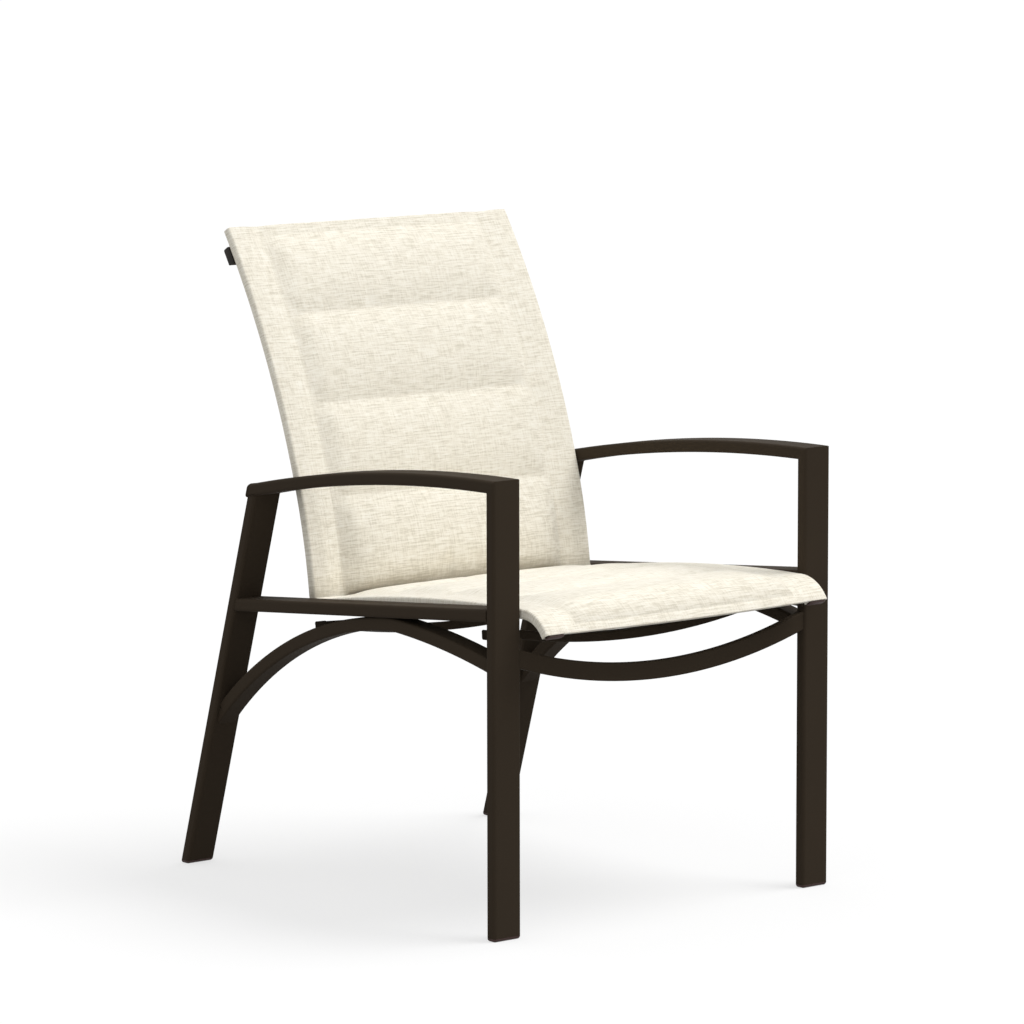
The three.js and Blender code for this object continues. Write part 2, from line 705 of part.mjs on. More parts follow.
const barCapFace = new THREE.Shape(roundedOutline(barDepth, barThick, barCorner, 2));
const barStemWidth = barDepth - 2 * (barWall + stemGap);
const barStemThick = barThick - 2 * (barWall + stemGap);
const barCapStem = new THREE.Shape(roundedOutline(barStemWidth, barStemThick, barCorner - barWall, 1));
const backStemLength = backBarHalf - capThick - sleeveMiddle - screwClearance - fitGap - capThick;
for (const { tag, sign } of sides) {
  const cap = stemmedCap(barCapFace, barCapStem, capThick, backStemLength);
  cap.rotateZ(quarterTurn).rotateY(sign * quarterTurn);
  cap.translate(sign * (backBarHalf - capThick - fitGap), 0, backBarOffset);
  addPiece(`back_crossbar_cap_${tag}`, onRoute(cap, backBarDistance, 0), footPlastic);
}

// Button-head screw: the shank runs up +Z from z = 0, and the domed head hangs below it
function screwGeometry(shankLength) {
  const dome = new THREE.Path();
  dome.moveTo(0, -screwHeadThick);
  dome.quadraticCurveTo(screwHeadRadius * screwCrownShare, -screwHeadThick, screwHeadRadius, 0);
  const profile = dome.getPoints(2);
  profile.push(new THREE.Vector2(screwRadius, 0));
  profile.push(new THREE.Vector2(screwRadius, shankLength));
  profile.push(new THREE.Vector2(0, shankLength));
  return new THREE.LatheGeometry(profile, screwSides).rotateX(quarterTurn);
}
for (const { tag, sign } of sides) {
  const head = backBarOffset - barThick / 2 - fitGap;
  const shank = -head - sleeveHalf + fabricThick + fitGap + railWall + screwGrip;
  const screw = screwGeometry(shank).translate(0, 0, head);
  addPiece(`back_screw_${tag}`, onRoute(screw, backBarDistance, sign * sleeveMiddle), screwSteel);
}

// Angle cleats that carry the sling rails from the side rails' inner faces, each with a screw from below
const cleatTop = -(sleeveHalf + fitGap);
for (const { tag, sign } of sides) {
  for (const place of cleatPlaces) {
    const wall = frameInside - fitGap;
    const bottom = cleatTop - plateThick;
    const points = [
      [wall - plateThick - cleatOverlap, bottom],
      [wall, bottom],
      [wall, bottom + cleatRise],
      [wall - plateThick, bottom + cleatRise],
      [wall - plateThick, cleatTop],
      [wall - plateThick - cleatOverlap, cleatTop],
    ];
    const angle = alongY(shapeOf(points.map(([x, z]) => [sign * x, z])), cleatLength);
    const hole = roundBar(screwClearance, cleatTop - 2 * plateThick, 0).translate(sign * sleeveMiddle, 0, 0);
    const cleat = geometryOf(solidOf(angle).subtract(solidOf(hole)));
    addPiece(`rail_cleat_${place.tag}_${tag}`, onRoute(cleat, place.distance, 0), powderCoat);
    const head = bottom - fitGap;
    const shank = -head - sleeveHalf + fabricThick + fitGap + railWall + screwGrip;
    const screw = screwGeometry(shank).translate(0, 0, head);
    const placedScrew = onRoute(screw, place.distance, sign * sleeveMiddle);
    addPiece(`rail_screw_${place.tag}_${tag}`, placedScrew, screwSteel);
  }
}

// Lug plates from the front legs to the ends of the front crossbar
const [frontBar, rearBar] = seatBars;
const lugLow = seatHeight - lugDrop;
const lugPlate = acrossX(shapeOf([
  [lugSetback, lugLow],
  [frontBar.reach + lugOverlap, lugLow],
  [frontBar.reach + lugOverlap, lugLow + lugHeight],
  [lugSetback, lugLow + lugHeight],
]), plateThick);
for (const { tag, sign } of sides) {
  const middle = frameInside - fitGap - plateThick / 2;
  addPiece(`front_crossbar_lug_${tag}`, lugPlate, powderCoat).position.x = sign * middle;
}

// Cleats from the arches' inner faces to under the ends of the rear crossbar
const archInside = frameMiddle - archWidth / 2;
const underBar = (x) =>
  barRise - (barHalf - x) * Math.tan(barFlatAngle) - barThick / 2 / Math.cos(barFlatAngle) - fitGap;
for (const { tag, sign } of sides) {
  const wall = archInside - fitGap;
  const inner = barHalf - barCleatReach;
  const points = [
    [inner, underBar(inner) - plateThick],
    [wall - plateThick, underBar(wall) - plateThick],
    [wall - plateThick, underBar(wall) - barCleatDrop],
    [wall, underBar(wall) - barCleatDrop],
    [wall, underBar(wall)],
    [inner, underBar(inner)],
  ];
  const angle = alongY(shapeOf(points.map(([x, z]) => [sign * x, z])), barDepth);
  const mesh = addPiece(`rear_crossbar_cleat_${tag}`, angle, powderCoat);
  mesh.position.copy(rearBar.middle);
  mesh.rotation.x = -rearBar.tilt;
}

// Glides under the legs, each a rounded foot with a stem up the tube
function glideSolid(centreAt, rake) {
  const stretch = 1 / Math.cos(rake);
  const ringAt = (outline, z) => outline.map((point) =>
    new THREE.Vector3(point.x, centreAt(z) - point.y * stretch, z));
  const footOutline = (inset) =>
    roundedOutline(tubeWidth - 2 * inset, tubeThick - 2 * inset, tubeCorner - inset);
  const footRings = [
    [glideRound, 0],
    [glideRound * (1 - Math.SQRT1_2), glideRound * (1 - Math.SQRT1_2)],
    [0, glideRound],
    [0, glideThick],
  ].map(([inset, z]) => ringAt(footOutline(inset), z));
  const stem = roundedOutline(boreWidth - 2 * stemGap, boreThick - 2 * stemGap, boreCorner, 1);
  const stemRings = [glideThick / 2, glideThick + glideStemLength].map((z) => ringAt(stem, z));
  return geometryOf(solidOf(loft([footRings], tubeOutline)).add(solidOf(loft([stemRings], stem))));
}
const frontGlide = glideSolid(() => tubeThick / 2, 0);
const rearLegMiddleAt = (z) => rearLegMiddle.y - (z - rearLegMiddle.z) * Math.tan(rearLegRake);
const rearGlide = glideSolid(rearLegMiddleAt, rearLegRake);
for (const { tag, sign } of sides) {
  addPiece(`front_glide_${tag}`, frontGlide, footPlastic).position.x = sign * frameMiddle;
  addPiece(`rear_glide_${tag}`, rearGlide, footPlastic).position.x = sign * frameMiddle;
}

// Stand the chair on the floor over the middle of its own length
chair.updateMatrixWorld(true);
const box = new THREE.Box3().setFromObject(chair, true);
chair.position.set(0, -(box.min.y + box.max.y) / 2, -box.min.z);

export default chair;
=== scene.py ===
# Sling patio chair: the finish of every piece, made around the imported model.
# Lengths are metres. X runs across the chair, Y from its front to its back, and Z is up.
# Routes are worked out with Y = 0 on the front face of the front legs, and moved to the model's Y at the end.
import math

import bmesh
import bpy
import numpy as np
from mathutils import Matrix, Vector
from mathutils.bvhtree import BVHTree


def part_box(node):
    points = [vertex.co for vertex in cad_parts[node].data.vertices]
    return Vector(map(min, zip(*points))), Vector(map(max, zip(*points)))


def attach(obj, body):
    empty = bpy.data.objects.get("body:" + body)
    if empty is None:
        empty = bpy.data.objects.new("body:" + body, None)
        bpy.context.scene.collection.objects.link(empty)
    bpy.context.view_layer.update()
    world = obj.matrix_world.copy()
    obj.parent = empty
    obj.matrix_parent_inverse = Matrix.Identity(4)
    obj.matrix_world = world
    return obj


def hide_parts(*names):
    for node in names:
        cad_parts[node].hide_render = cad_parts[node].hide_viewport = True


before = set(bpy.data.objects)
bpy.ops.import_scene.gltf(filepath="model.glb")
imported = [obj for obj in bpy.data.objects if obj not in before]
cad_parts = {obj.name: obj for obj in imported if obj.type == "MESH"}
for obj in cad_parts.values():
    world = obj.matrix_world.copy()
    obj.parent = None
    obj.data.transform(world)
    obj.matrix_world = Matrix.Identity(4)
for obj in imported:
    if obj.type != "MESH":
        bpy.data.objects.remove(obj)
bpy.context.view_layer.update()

MM = 0.001
QUARTER_TURN = math.pi / 2
SIDES = (("left", -1), ("right", 1))

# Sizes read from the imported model
LEG_LOW, LEG_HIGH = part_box("front_leg_left")
FRONT_Y = LEG_LOW.y
TUBE_WIDTH = LEG_HIGH.x - LEG_LOW.x
TUBE_THICK = LEG_HIGH.y - LEG_LOW.y
SIDE_MIDDLE = -(LEG_LOW.x + LEG_HIGH.x) / 2
SIDE_INSIDE = SIDE_MIDDLE - TUBE_WIDTH / 2
ARM_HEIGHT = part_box("arm_left")[1].z
SLEEVE_PROUD = 2.5 * MM
SLING_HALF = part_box("seat_sling")[1].x + SLEEVE_PROUD
BACK_BAR_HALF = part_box("back_crossbar")[1].x

# Side frames
TUBE_CORNER = 4.8 * MM
ARM_RADIUS = 2640 * MM
ARM_BEND_STEP = math.radians(0.5)
ARM_PLATE_THICK = 2.8 * MM
REAR_LEG_REACH = 709.4 * MM
REAR_LEG_RAKE = math.radians(17)
SIDE_RAIL_HEIGHT = 451 * MM
SIDE_RAIL_SLOPE = math.radians(5.16)
GLIDE_THICK = 5 * MM
GLIDE_ROUND = 4.4 * MM
WELD_BITE = 0.6 * MM

# Arched tube under each side rail
ARCH_WIDTH = 33 * MM
ARCH_THICK = 19 * MM
ARCH_CORNER = 3.5 * MM
ARCH_CREST_REACH = 248 * MM
ARCH_CREST_STRAIGHT = 9 * MM
ARCH_BEND_RADIUS = 100 * MM
ARCH_FRONT_RADIUS = 1263 * MM
ARCH_FRONT_RISE = math.radians(3.9)
ARCH_REAR_RADIUS = 632 * MM
ARCH_BEND_STEP = math.radians(0.8)

# Bars across the chair
BAR_DEPTH = 25.4 * MM
BAR_THICK = 12.7 * MM
BAR_CORNER = 2.3 * MM
STRETCHER_SETBACK = 2.5 * MM
STRETCHER_LOW = 333.5 * MM
STRETCHER_RADIUS = 847 * MM
BAR_END_GAP = 3.1 * MM
BAR_BOW_RADIUS = 1150 * MM
BAR_BOW_ANGLE = math.radians(10.4)
BAR_EASE_RADIUS = 164 * MM
BAR_FLAT_ANGLE = math.radians(2.9)
SEAT_BARS = (
    ("front", 60 * MM, 382.9 * MM, math.radians(3.5)),
    ("rear", 433 * MM, 352.4 * MM, math.radians(10)),
)
BACK_BAR_DROP = 33 * MM

# Sling and the rails in its sleeves
SLEEVE_WIDTH = 32 * MM + SLEEVE_PROUD
RAIL_INSET = 16 * MM
RAIL_X = SLING_HALF - SLEEVE_PROUD - RAIL_INSET
SLEEVE_HALF = 7.25 * MM
SHEET_THICK = 6 * MM
SEAT_HEIGHT = 456 * MM
KNEE_RADIUS = 60 * MM
KNEE_ANGLE = math.radians(60)
SEAT_RADIUS = 2659 * MM
SEAT_ANGLE = math.radians(9.95)
HIP_RADIUS = 5 * MM
HIP_ANGLE = math.radians(93.35)
BACK_LOWER_RADIUS = 890 * MM
BACK_LOWER_ANGLE = math.radians(9.25)
BACK_UPPER_RADIUS = 1350 * MM
BACK_UPPER_ANGLE = math.radians(17.35)
SLEEVE_OVERHANG = 3 * MM
BORDER_WIDTH = 52 * MM + SLEEVE_PROUD
HEM_WIDTH = 11 * MM
FIRST_PANEL_START = 24 * MM
TOP_BORDER_WIDTH = 16 * MM
PANEL_LENGTH = 133 * MM
BACK_PANEL_ENDS = (0, 125.5 * MM, 262 * MM, 399 * MM)

# Shading of every mesh, and the short flats beside its rounded corners
SMOOTH_ANGLE = math.radians(38)
FLAT_EDGE = 0.4 * MM


class Route:
    """A line in the YZ plane: runs are (length,) straights and (radius, turn) bends, positive to the left."""

    def __init__(self, y, z, angle, runs):
        self.start = (y, z, angle)
        self.runs = runs
        self.lengths = [run[0] * abs(run[1]) if len(run) == 2 else run[0] for run in runs]
        self.length = sum(self.lengths)

    def at(self, distance):
        """The place and the angle up from +Y at a distance; past an end the route goes straight on."""
        y, z, angle = self.start
        if distance < 0:
            return y + distance * math.cos(angle), z + distance * math.sin(angle), angle
        left = distance
        for run, whole in zip(self.runs, self.lengths):
            used = min(left, whole)
            if len(run) == 2:
                side = math.copysign(1, run[1])
                ahead = angle + side * used / run[0]
                y += side * run[0] * (math.sin(ahead) - math.sin(angle))
                z -= side * run[0] * (math.cos(ahead) - math.cos(angle))
                angle = ahead
            else:
                y += used * math.cos(angle)
                z += used * math.sin(angle)
            left -= used
        return y + left * math.cos(angle), z + left * math.sin(angle), angle

    def steps(self, bend_step):
        """Distances of the ends of every run, and of steps of about bend_step in the bends."""
        distances = [0.0]
        for run, whole in zip(self.runs, self.lengths):
            count = max(1, math.ceil(abs(run[1]) / bend_step)) if len(run) == 2 else 1
            start = distances[-1]
            distances += [start + whole * (step + 1) / count for step in range(count)]
        return distances


def moved_line(line, distance):
    """The line moved to its left."""
    y, z, angle = line
    return y - distance * math.sin(angle), z + distance * math.cos(angle), angle


def line_at(line, distance):
    """The line's place a distance on."""
    y, z, angle = line
    return y + distance * math.cos(angle), z + distance * math.sin(angle), angle


def distance_to_circle(point, angle, centre, radius):
    """Distance from a point along an angle to a circle's far side."""
    off_y = point[0] - centre[0]
    off_z = point[1] - centre[1]
    along = off_y * math.cos(angle) + off_z * math.sin(angle)
    return math.sqrt(along ** 2 + radius ** 2 - off_y ** 2 - off_z ** 2) - along


def rounded_outline(width, thick, corner, steps=6):
    """Points of a rounded rectangle about the origin, counter-clockwise, and one on each flat by a corner."""
    points = []
    for index, (sign_x, sign_y) in enumerate(((1, 1), (-1, 1), (-1, -1), (1, -1))):
        centre = Vector((sign_x * (width / 2 - corner), sign_y * (thick / 2 - corner)))
        arc = []
        for step in range(steps + 1):
            angle = (index + step / steps) * QUARTER_TURN
            arc.append(centre + corner * Vector((math.cos(angle), math.sin(angle))))
        ahead = Vector((-math.sin(angle), math.cos(angle)))
        behind = Vector((-ahead.y, ahead.x))
        points += [arc[0] + FLAT_EDGE * behind, *arc, arc[-1] + FLAT_EDGE * ahead]
    return [tuple(point) for point in points]


def placed(point, station):
    """A section's point (across X, to the left of the route) at a station of a route."""
    y, z, angle = station
    return Vector((point[0], y - point[1] * math.sin(angle), z + point[1] * math.cos(angle)))


def slid_to(ring, station, line):
    """The ring slid along its station's direction onto a line of the YZ plane."""
    run_y, run_z = math.cos(station[2]), math.sin(station[2])
    normal_y, normal_z = -math.sin(line[2]), math.cos(line[2])
    across = normal_y * run_y + normal_z * run_z
    slid = []
    for point in ring:
        slide = ((line[0] - point.y) * normal_y + (line[1] - point.z) * normal_z) / across
        slid.append(Vector((point.x, point.y + slide * run_y, point.z + slide * run_z)))
    return slid


def swept_rings(route, outline, start_line=None, end_line=None, bend_step=math.radians(1)):
    """Rings of a section along a route, the first and last cut by lines where these are given."""
    stations = [route.at(distance) for distance in route.steps(bend_step)]
    rings = [[placed(point, station) for point in outline] for station in stations]
    if start_line:
        rings[0] = slid_to(rings[0], stations[0], start_line)
    if end_line:
        rings[-1] = slid_to(rings[-1], stations[-1], end_line)
    return rings


def moved(rings, matrix):
    return [[matrix @ point for point in ring] for ring in rings]


def added(name, data):
    """A new object of the scene."""
    piece = bpy.data.objects.new(name, data)
    bpy.context.scene.collection.objects.link(piece)
    return piece


def new_object(name, points, faces, smooth_angle=SMOOTH_ANGLE):
    """A mesh object from points with Y = 0 on the front legs' front face, its faces turned outwards."""
    mesh = bpy.data.meshes.new(name)
    mesh.from_pydata([(x, y + FRONT_Y, z) for x, y, z in points], [], faces)
    shell = bmesh.new()
    shell.from_mesh(mesh)
    bmesh.ops.recalc_face_normals(shell, faces=shell.faces)
    shell.to_mesh(mesh)
    shell.free()
    mesh.shade_smooth()
    mesh.set_sharp_from_angle(angle=smooth_angle)
    return added(name, mesh)


def loft(name, rings, smooth_angle=SMOOTH_ANGLE):
    """A closed solid through rings of equal counts."""
    count = len(rings[0])
    points = [point for ring in rings for point in ring]
    faces = [tuple(range(count)), tuple(range(len(points) - 1, len(points) - count - 1, -1))]
    for ring in range(len(rings) - 1):
        for step in range(count):
            here = ring * count + step
            beside = ring * count + (step + 1) % count
            faces.append((here, beside, beside + count, here + count))
    return new_object(name, points, faces, smooth_angle)


class Value:
    """A socket whose arithmetic adds Math nodes to its tree."""

    def __init__(self, graph, socket):
        self.graph = graph
        self.socket = socket

    def math(self, operation, *values):
        return self.graph.node("ShaderNodeMath", {"operation": operation}, dict(enumerate(values)))

    def __add__(self, other):
        return self.math("ADD", self, other)

    def __sub__(self, other):
        return self.math("SUBTRACT", self, other)

    def __rsub__(self, other):
        return self.math("SUBTRACT", other, self)

    def __mul__(self, other):
        return self.math("MULTIPLY", self, other)

    def __truediv__(self, other):
        return self.math("DIVIDE", self, other)

    __radd__ = __add__
    __rmul__ = __mul__

    def clamped(self):
        return self.math("MINIMUM", self.math("MAXIMUM", self, 0.0), 1.0)

    def sine(self):
        return self.math("SINE", self)


class Graph:
    """A node tree, and the one way that nodes are added to it."""

    def __init__(self, tree):
        self.tree = tree

    def node(self, kind, settings=None, inputs=None, output=0):
        """Adds a node: its settings first, then the values or links of its sockets, by name or by number."""
        node = self.tree.nodes.new(kind)
        for key, setting in (settings or {}).items():
            if key == "stops":
                elements = node.color_ramp.elements
                while len(elements) < len(setting):
                    elements.new(0.5)
                for element, (position, color) in zip(elements, setting):
                    element.position = position
                    element.color = (*color, 1)
            else:
                setattr(node, key, setting)
        for key, value in (inputs or {}).items():
            socket = node.inputs[key]
            if isinstance(value, Value):
                self.tree.links.new(value.socket, socket)
            elif socket.type == "RGBA" and len(value) == 3:
                socket.default_value = (*value, 1)
            else:
                socket.default_value = value
        return Value(self, node.outputs[output]) if node.outputs else node

    def mix(self, share, first, second):
        """Colours mixed by a share."""
        return self.node(
            "ShaderNodeMix", {"data_type": "RGBA"}, {0: share, 6: first, 7: second}, output=2
        )

    def noise(self, vector, scale, detail=2.0, roughness=0.5):
        return self.node(
            "ShaderNodeTexNoise",
            None,
            {"Vector": vector, "Scale": scale, "Detail": detail, "Roughness": roughness},
        )

    def part(self, vector, axis):
        """One number of a vector: 0, 1 or 2."""
        return self.node("ShaderNodeSeparateXYZ", None, {0: vector}, output=axis)

    def vector(self, operation, *values):
        return self.node("ShaderNodeVectorMath", {"operation": operation}, dict(enumerate(values)))

    def streaks(self, vector, stretch, offset):
        """Noise drawn out along an axis: stretch gives how many cells a metre holds along each axis."""
        moved_vector = self.vector("ADD", self.vector("MULTIPLY", vector, stretch), offset)
        return self.noise(moved_vector, 1.0, detail=2.5, roughness=0.6)


def emptied(owner):
    """The graph of a material or a world, with no nodes in it yet."""
    owner.use_nodes = True
    owner.node_tree.nodes.clear()
    return Graph(owner.node_tree)


def new_material(name, build):
    """A material whose build function gives the surface's varying inputs and sets the constant ones."""
    material = bpy.data.materials.new(name)
    graph = emptied(material)
    constant, varying = build(graph)
    surface = graph.node("ShaderNodeBsdfPrincipled", None, {**constant, **varying})
    graph.node("ShaderNodeOutputMaterial", None, {"Surface": surface})
    return material


def bump(graph, height, distance, strength):
    return graph.node(
        "ShaderNodeBump", None, {"Strength": strength, "Distance": distance, "Height": height}
    )


def object_place(graph):
    return graph.node("ShaderNodeTexCoord", output="Object")


# Finishes: a pair holds a surface's darkest and lightest colours. Noise scales are cells per metre.
BRONZE = ((0.0320, 0.0230, 0.0150), (0.0445, 0.0330, 0.0220))
BROWN_PLASTIC = ((0.050, 0.028, 0.024), (0.066, 0.038, 0.033))
BLACK_PLASTIC = ((0.014, 0.012, 0.010), (0.022, 0.019, 0.016))
SCUFFED_PLASTIC = (0.12, 0.10, 0.085)
SCUFF_HIGH = 2.2 * MM
STEEL = ((0.30, 0.28, 0.25), (0.46, 0.44, 0.40))
SEWING_CREAM = ((0.70, 0.64, 0.52), (0.86, 0.81, 0.70))


def powder_coat(graph):
    """Dark bronze powder coat: a faint orange peel, fine grains and a slightly uneven film."""
    place = object_place(graph)
    film = graph.noise(place, 9.0)
    grain = graph.noise(place, 2600.0, detail=1.0)
    peel = graph.noise(place, 420.0, detail=1.5)
    constant = {"Specular IOR Level": 0.06}
    varying = {
        "Base Color": graph.mix((film * 0.5 + grain * 0.5).clamped(), *BRONZE),
        "Roughness": 0.64 + 0.12 * film + 0.06 * grain,
        "Normal": bump(graph, peel + 0.35 * grain, 0.10 * MM, 0.5),
    }
    return constant, varying


def moulded_plastic(shades):
    """Polyethylene of the feet and caps, with a fine moulded grain, and scuffs where it meets the floor."""

    def build(graph):
        place = object_place(graph)
        grain = graph.noise(place, 1500.0, detail=2.0)
        height = graph.part(place, 2)
        scuff = ((SCUFF_HIGH - height) / SCUFF_HIGH).clamped() * graph.noise(place, 300.0)
        base = graph.mix(graph.noise(place, 60.0), *shades)
        constant = {"Specular IOR Level": 0.2}
        varying = {
            "Base Color": graph.mix(scuff * 0.6, base, SCUFFED_PLASTIC),
            "Roughness": 0.5 + 0.2 * grain,
            "Normal": bump(graph, grain, 0.08 * MM, 0.6),
        }
        return constant, varying

    return build


def dulled_steel(graph):
    """Plated screws, a little dulled and brushed."""
    place = object_place(graph)
    brushing = graph.streaks(place, (500.0, 500.0, 4000.0), (3.1, 7.7, 1.3))
    constant = {"Metallic": 1.0}
    varying = {
        "Base Color": graph.mix(graph.noise(place, 350.0), *STEEL),
        "Roughness": 0.28 + 0.25 * brushing,
        "Normal": bump(graph, brushing, 0.03 * MM, 0.5),
    }
    return constant, varying


def sewing_thread(graph):
    """Cream sewing thread, twisted."""
    twist = graph.noise(object_place(graph), 1800.0, detail=1.0)
    constant = {"Specular IOR Level": 0.3, "Sheen Weight": 0.2}
    varying = {
        "Base Color": graph.mix(twist, *SEWING_CREAM),
        "Roughness": 0.6 + 0.2 * twist,
        "Normal": bump(graph, twist, 0.05 * MM, 0.5),
    }
    return constant, varying


# Weave of the sling
THREAD_PITCH = 0.95 * MM
THREAD_TURNS = 2 * math.pi / THREAD_PITCH
CREAM_DARK = (0.690, 0.640, 0.525)
CREAM_MIDDLE = (0.858, 0.808, 0.690)
CREAM_LIGHT = (0.935, 0.900, 0.800)
THREAD_TAN = (0.520, 0.440, 0.310)
# The colour that painted shade darkens the cloth towards
PAINTED_SHADE_COLOR = (0.160, 0.134, 0.102)
# Slubs and single threads: cells per metre across and along, place in the noise, and weight in the tone
WEFT_SLUBS = ((30.0, 430.0, 1.0), 3.0, 2.3)
WARP_SLUBS = ((400.0, 34.0, 1.0), 11.0, 1.2)
WEFT_THREADS = ((75.0, 900.0, 1.0), 23.0, 1.7)
WARP_THREADS = ((820.0, 85.0, 1.0), 31.0, 1.1)
HEATHER_WEIGHT = 0.25
WEAVE_WEIGHT = 0.10
# The weight of the painted light and shade in the tone
PAINTED_LIGHT_WEIGHT = 0.20
# Tan slubs of the weft and of the warp: the noise that they start over, and their share
TAN_SLUBS = ((0.64, 0.12), (0.66, 0.08))
TAN_STEEPNESS = 9.0
# How strongly painted shade mixes in the shade colour
PAINTED_SHADE_WEIGHT = -0.30
SLUB_RELIEF = 1.6


def woven_cream(graph):
    """Slubby cream weave, with light and shade painted into its colour. The lay attribute holds metres across
    the cloth,
    metres along it, and the painted light: over 0 where light is painted, under 0 where shade is painted."""
    lay = graph.node("ShaderNodeAttribute", {"attribute_name": "lay"}, output="Vector")
    across, along, light = (graph.part(lay, axis) for axis in range(3))
    kinds = (WEFT_SLUBS, WARP_SLUBS, WEFT_THREADS, WARP_THREADS)
    streaks = [graph.streaks(lay, stretch, (0.0, 0.0, place)) for stretch, place, _ in kinds]
    heather = graph.noise(lay, 34.0, detail=3.0)
    weave = (along * THREAD_TURNS).sine() * (across * THREAD_TURNS).sine() * 0.5 + 0.5
    tone = 0.5 + (heather - 0.5) * HEATHER_WEIGHT + (weave - 0.5) * WEAVE_WEIGHT + light * PAINTED_LIGHT_WEIGHT
    for streak, (_, _, weight) in zip(streaks, kinds):
        tone = tone + (streak - 0.5) * weight
    cream = graph.node(
        "ShaderNodeValToRGB",
        {"stops": [(0.0, CREAM_DARK), (0.5, CREAM_MIDDLE), (1.0, CREAM_LIGHT)]},
        {0: tone.clamped()},
    )
    weft_tan, warp_tan = (
        ((slubs - start) * TAN_STEEPNESS).clamped() * share
        for slubs, (start, share) in zip(streaks, TAN_SLUBS)
    )
    # Painted shade: where the painted light is under 0, the cloth is mixed towards the shade colour
    painted_shade = (light * PAINTED_SHADE_WEIGHT).clamped()
    yarn = weave + (streaks[0] - 0.5) * SLUB_RELIEF + (streaks[1] - 0.5) * SLUB_RELIEF
    constant = {"Specular IOR Level": 0.2, "Sheen Weight": 0.2, "Sheen Roughness": 0.4}
    varying = {
        "Base Color": graph.mix(painted_shade, graph.mix(weft_tan + warp_tan, cream, THREAD_TAN), PAINTED_SHADE_COLOR),
        "Roughness": 0.82 + 0.12 * heather,
        "Normal": bump(graph, yarn, 0.22 * MM, 0.55),
    }
    return constant, varying


POWDER_COAT = new_material("bronze_powder_coat", powder_coat)
MOULDED_PLASTIC = new_material("brown_moulded_plastic", moulded_plastic(BROWN_PLASTIC))
DARK_PLASTIC = new_material("dark_moulded_plastic", moulded_plastic(BLACK_PLASTIC))
DULLED_STEEL = new_material("dulled_steel", dulled_steel)
WOVEN_CREAM = new_material("woven_cream", woven_cream)
SEWING_THREAD = new_material("sewing_thread", sewing_thread)


def finished(piece, material, slot, *nodes):
    """Gives a piece its finish, its body and the nodes that it stands for."""
    piece.data.materials.clear()
    piece.data.materials.append(material)
    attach(piece, "root")
    if nodes:
        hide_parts(*nodes)
    return piece


def frame_piece(name, rings, *nodes):
    return finished(loft(name, rings), POWDER_COAT, "frame", *nodes)


# Side frames
def side_shift(sign):
    return Matrix.Translation((sign * SIDE_MIDDLE, 0, 0))


TUBE_OUTLINE = rounded_outline(TUBE_WIDTH, TUBE_THICK, TUBE_CORNER)
ARCH_OUTLINE = rounded_outline(ARCH_WIDTH, ARCH_THICK, ARCH_CORNER)
REAR_LEG_ANGLE = QUARTER_TURN + REAR_LEG_RAKE
REAR_LEG_FRONT = (REAR_LEG_REACH, 0, REAR_LEG_ANGLE)
REAR_LEG_BACK = moved_line(REAR_LEG_FRONT, -TUBE_THICK)
REAR_LEG_MIDDLE = moved_line(REAR_LEG_FRONT, -TUBE_THICK / 2)
ARM_CENTRE = (0, ARM_HEIGHT - ARM_RADIUS)
MITRE = (0, ARM_HEIGHT, -QUARTER_TURN / 2)
FRONT_LEG_FACE = (TUBE_THICK - WELD_BITE, 0, QUARTER_TURN)
REAR_LEG_FACE = moved_line(REAR_LEG_FRONT, -WELD_BITE)
FLOOR_CUT = (0, GLIDE_THICK, 0)


def arm_route():
    reach = distance_to_circle(REAR_LEG_BACK, REAR_LEG_ANGLE, ARM_CENTRE, ARM_RADIUS)
    end_y = REAR_LEG_BACK[0] + reach * math.cos(REAR_LEG_ANGLE)
    turn = -math.asin(end_y / ARM_RADIUS)
    return Route(0, ARM_HEIGHT - TUBE_THICK / 2, 0, [(ARM_RADIUS - TUBE_THICK / 2, turn)])


def side_rail_start():
    z = SIDE_RAIL_HEIGHT - TUBE_THICK * math.tan(SIDE_RAIL_SLOPE)
    return TUBE_THICK, z, -SIDE_RAIL_SLOPE


def arch_route():
    start = side_rail_start()
    along = (ARCH_CREST_REACH - start[0]) / math.cos(SIDE_RAIL_SLOPE)
    crest = moved_line(line_at(start, along), -(TUBE_THICK / 2 + ARCH_THICK / 2))
    bend = Route(crest[0], crest[1], math.pi - SIDE_RAIL_SLOPE, [
        (ARCH_BEND_RADIUS, SIDE_RAIL_SLOPE + ARCH_FRONT_RISE),
    ])
    top = bend.at(bend.length)
    front_sine = math.sin(ARCH_FRONT_RISE) + (top[0] - FRONT_LEG_FACE[0]) / ARCH_FRONT_RADIUS
    front_turn = math.asin(front_sine) - ARCH_FRONT_RISE
    front_arc = Route(*top, [(ARCH_FRONT_RADIUS, front_turn)])
    front_end = front_arc.at(front_arc.length)
    centre = moved_line(line_at(crest, ARCH_CREST_STRAIGHT), -ARCH_REAR_RADIUS)
    reach = distance_to_circle(REAR_LEG_FACE, REAR_LEG_ANGLE, centre, ARCH_REAR_RADIUS)
    end_y = REAR_LEG_FACE[0] + reach * math.cos(REAR_LEG_ANGLE)
    rear_turn = math.asin((end_y - centre[0]) / ARCH_REAR_RADIUS) - SIDE_RAIL_SLOPE
    return Route(front_end[0], front_end[1], front_end[2] - math.pi, [
        (ARCH_FRONT_RADIUS, -front_turn),
        (ARCH_BEND_RADIUS, -(ARCH_FRONT_RISE + SIDE_RAIL_SLOPE)),
        (ARCH_CREST_STRAIGHT,),
        (ARCH_REAR_RADIUS, -rear_turn),
    ])


def rear_leg_route():
    reach = distance_to_circle(REAR_LEG_MIDDLE, REAR_LEG_ANGLE, ARM_CENTRE, ARM_RADIUS - TUBE_THICK)
    return Route(*REAR_LEG_MIDDLE, [(reach,)])


weld_rings = []


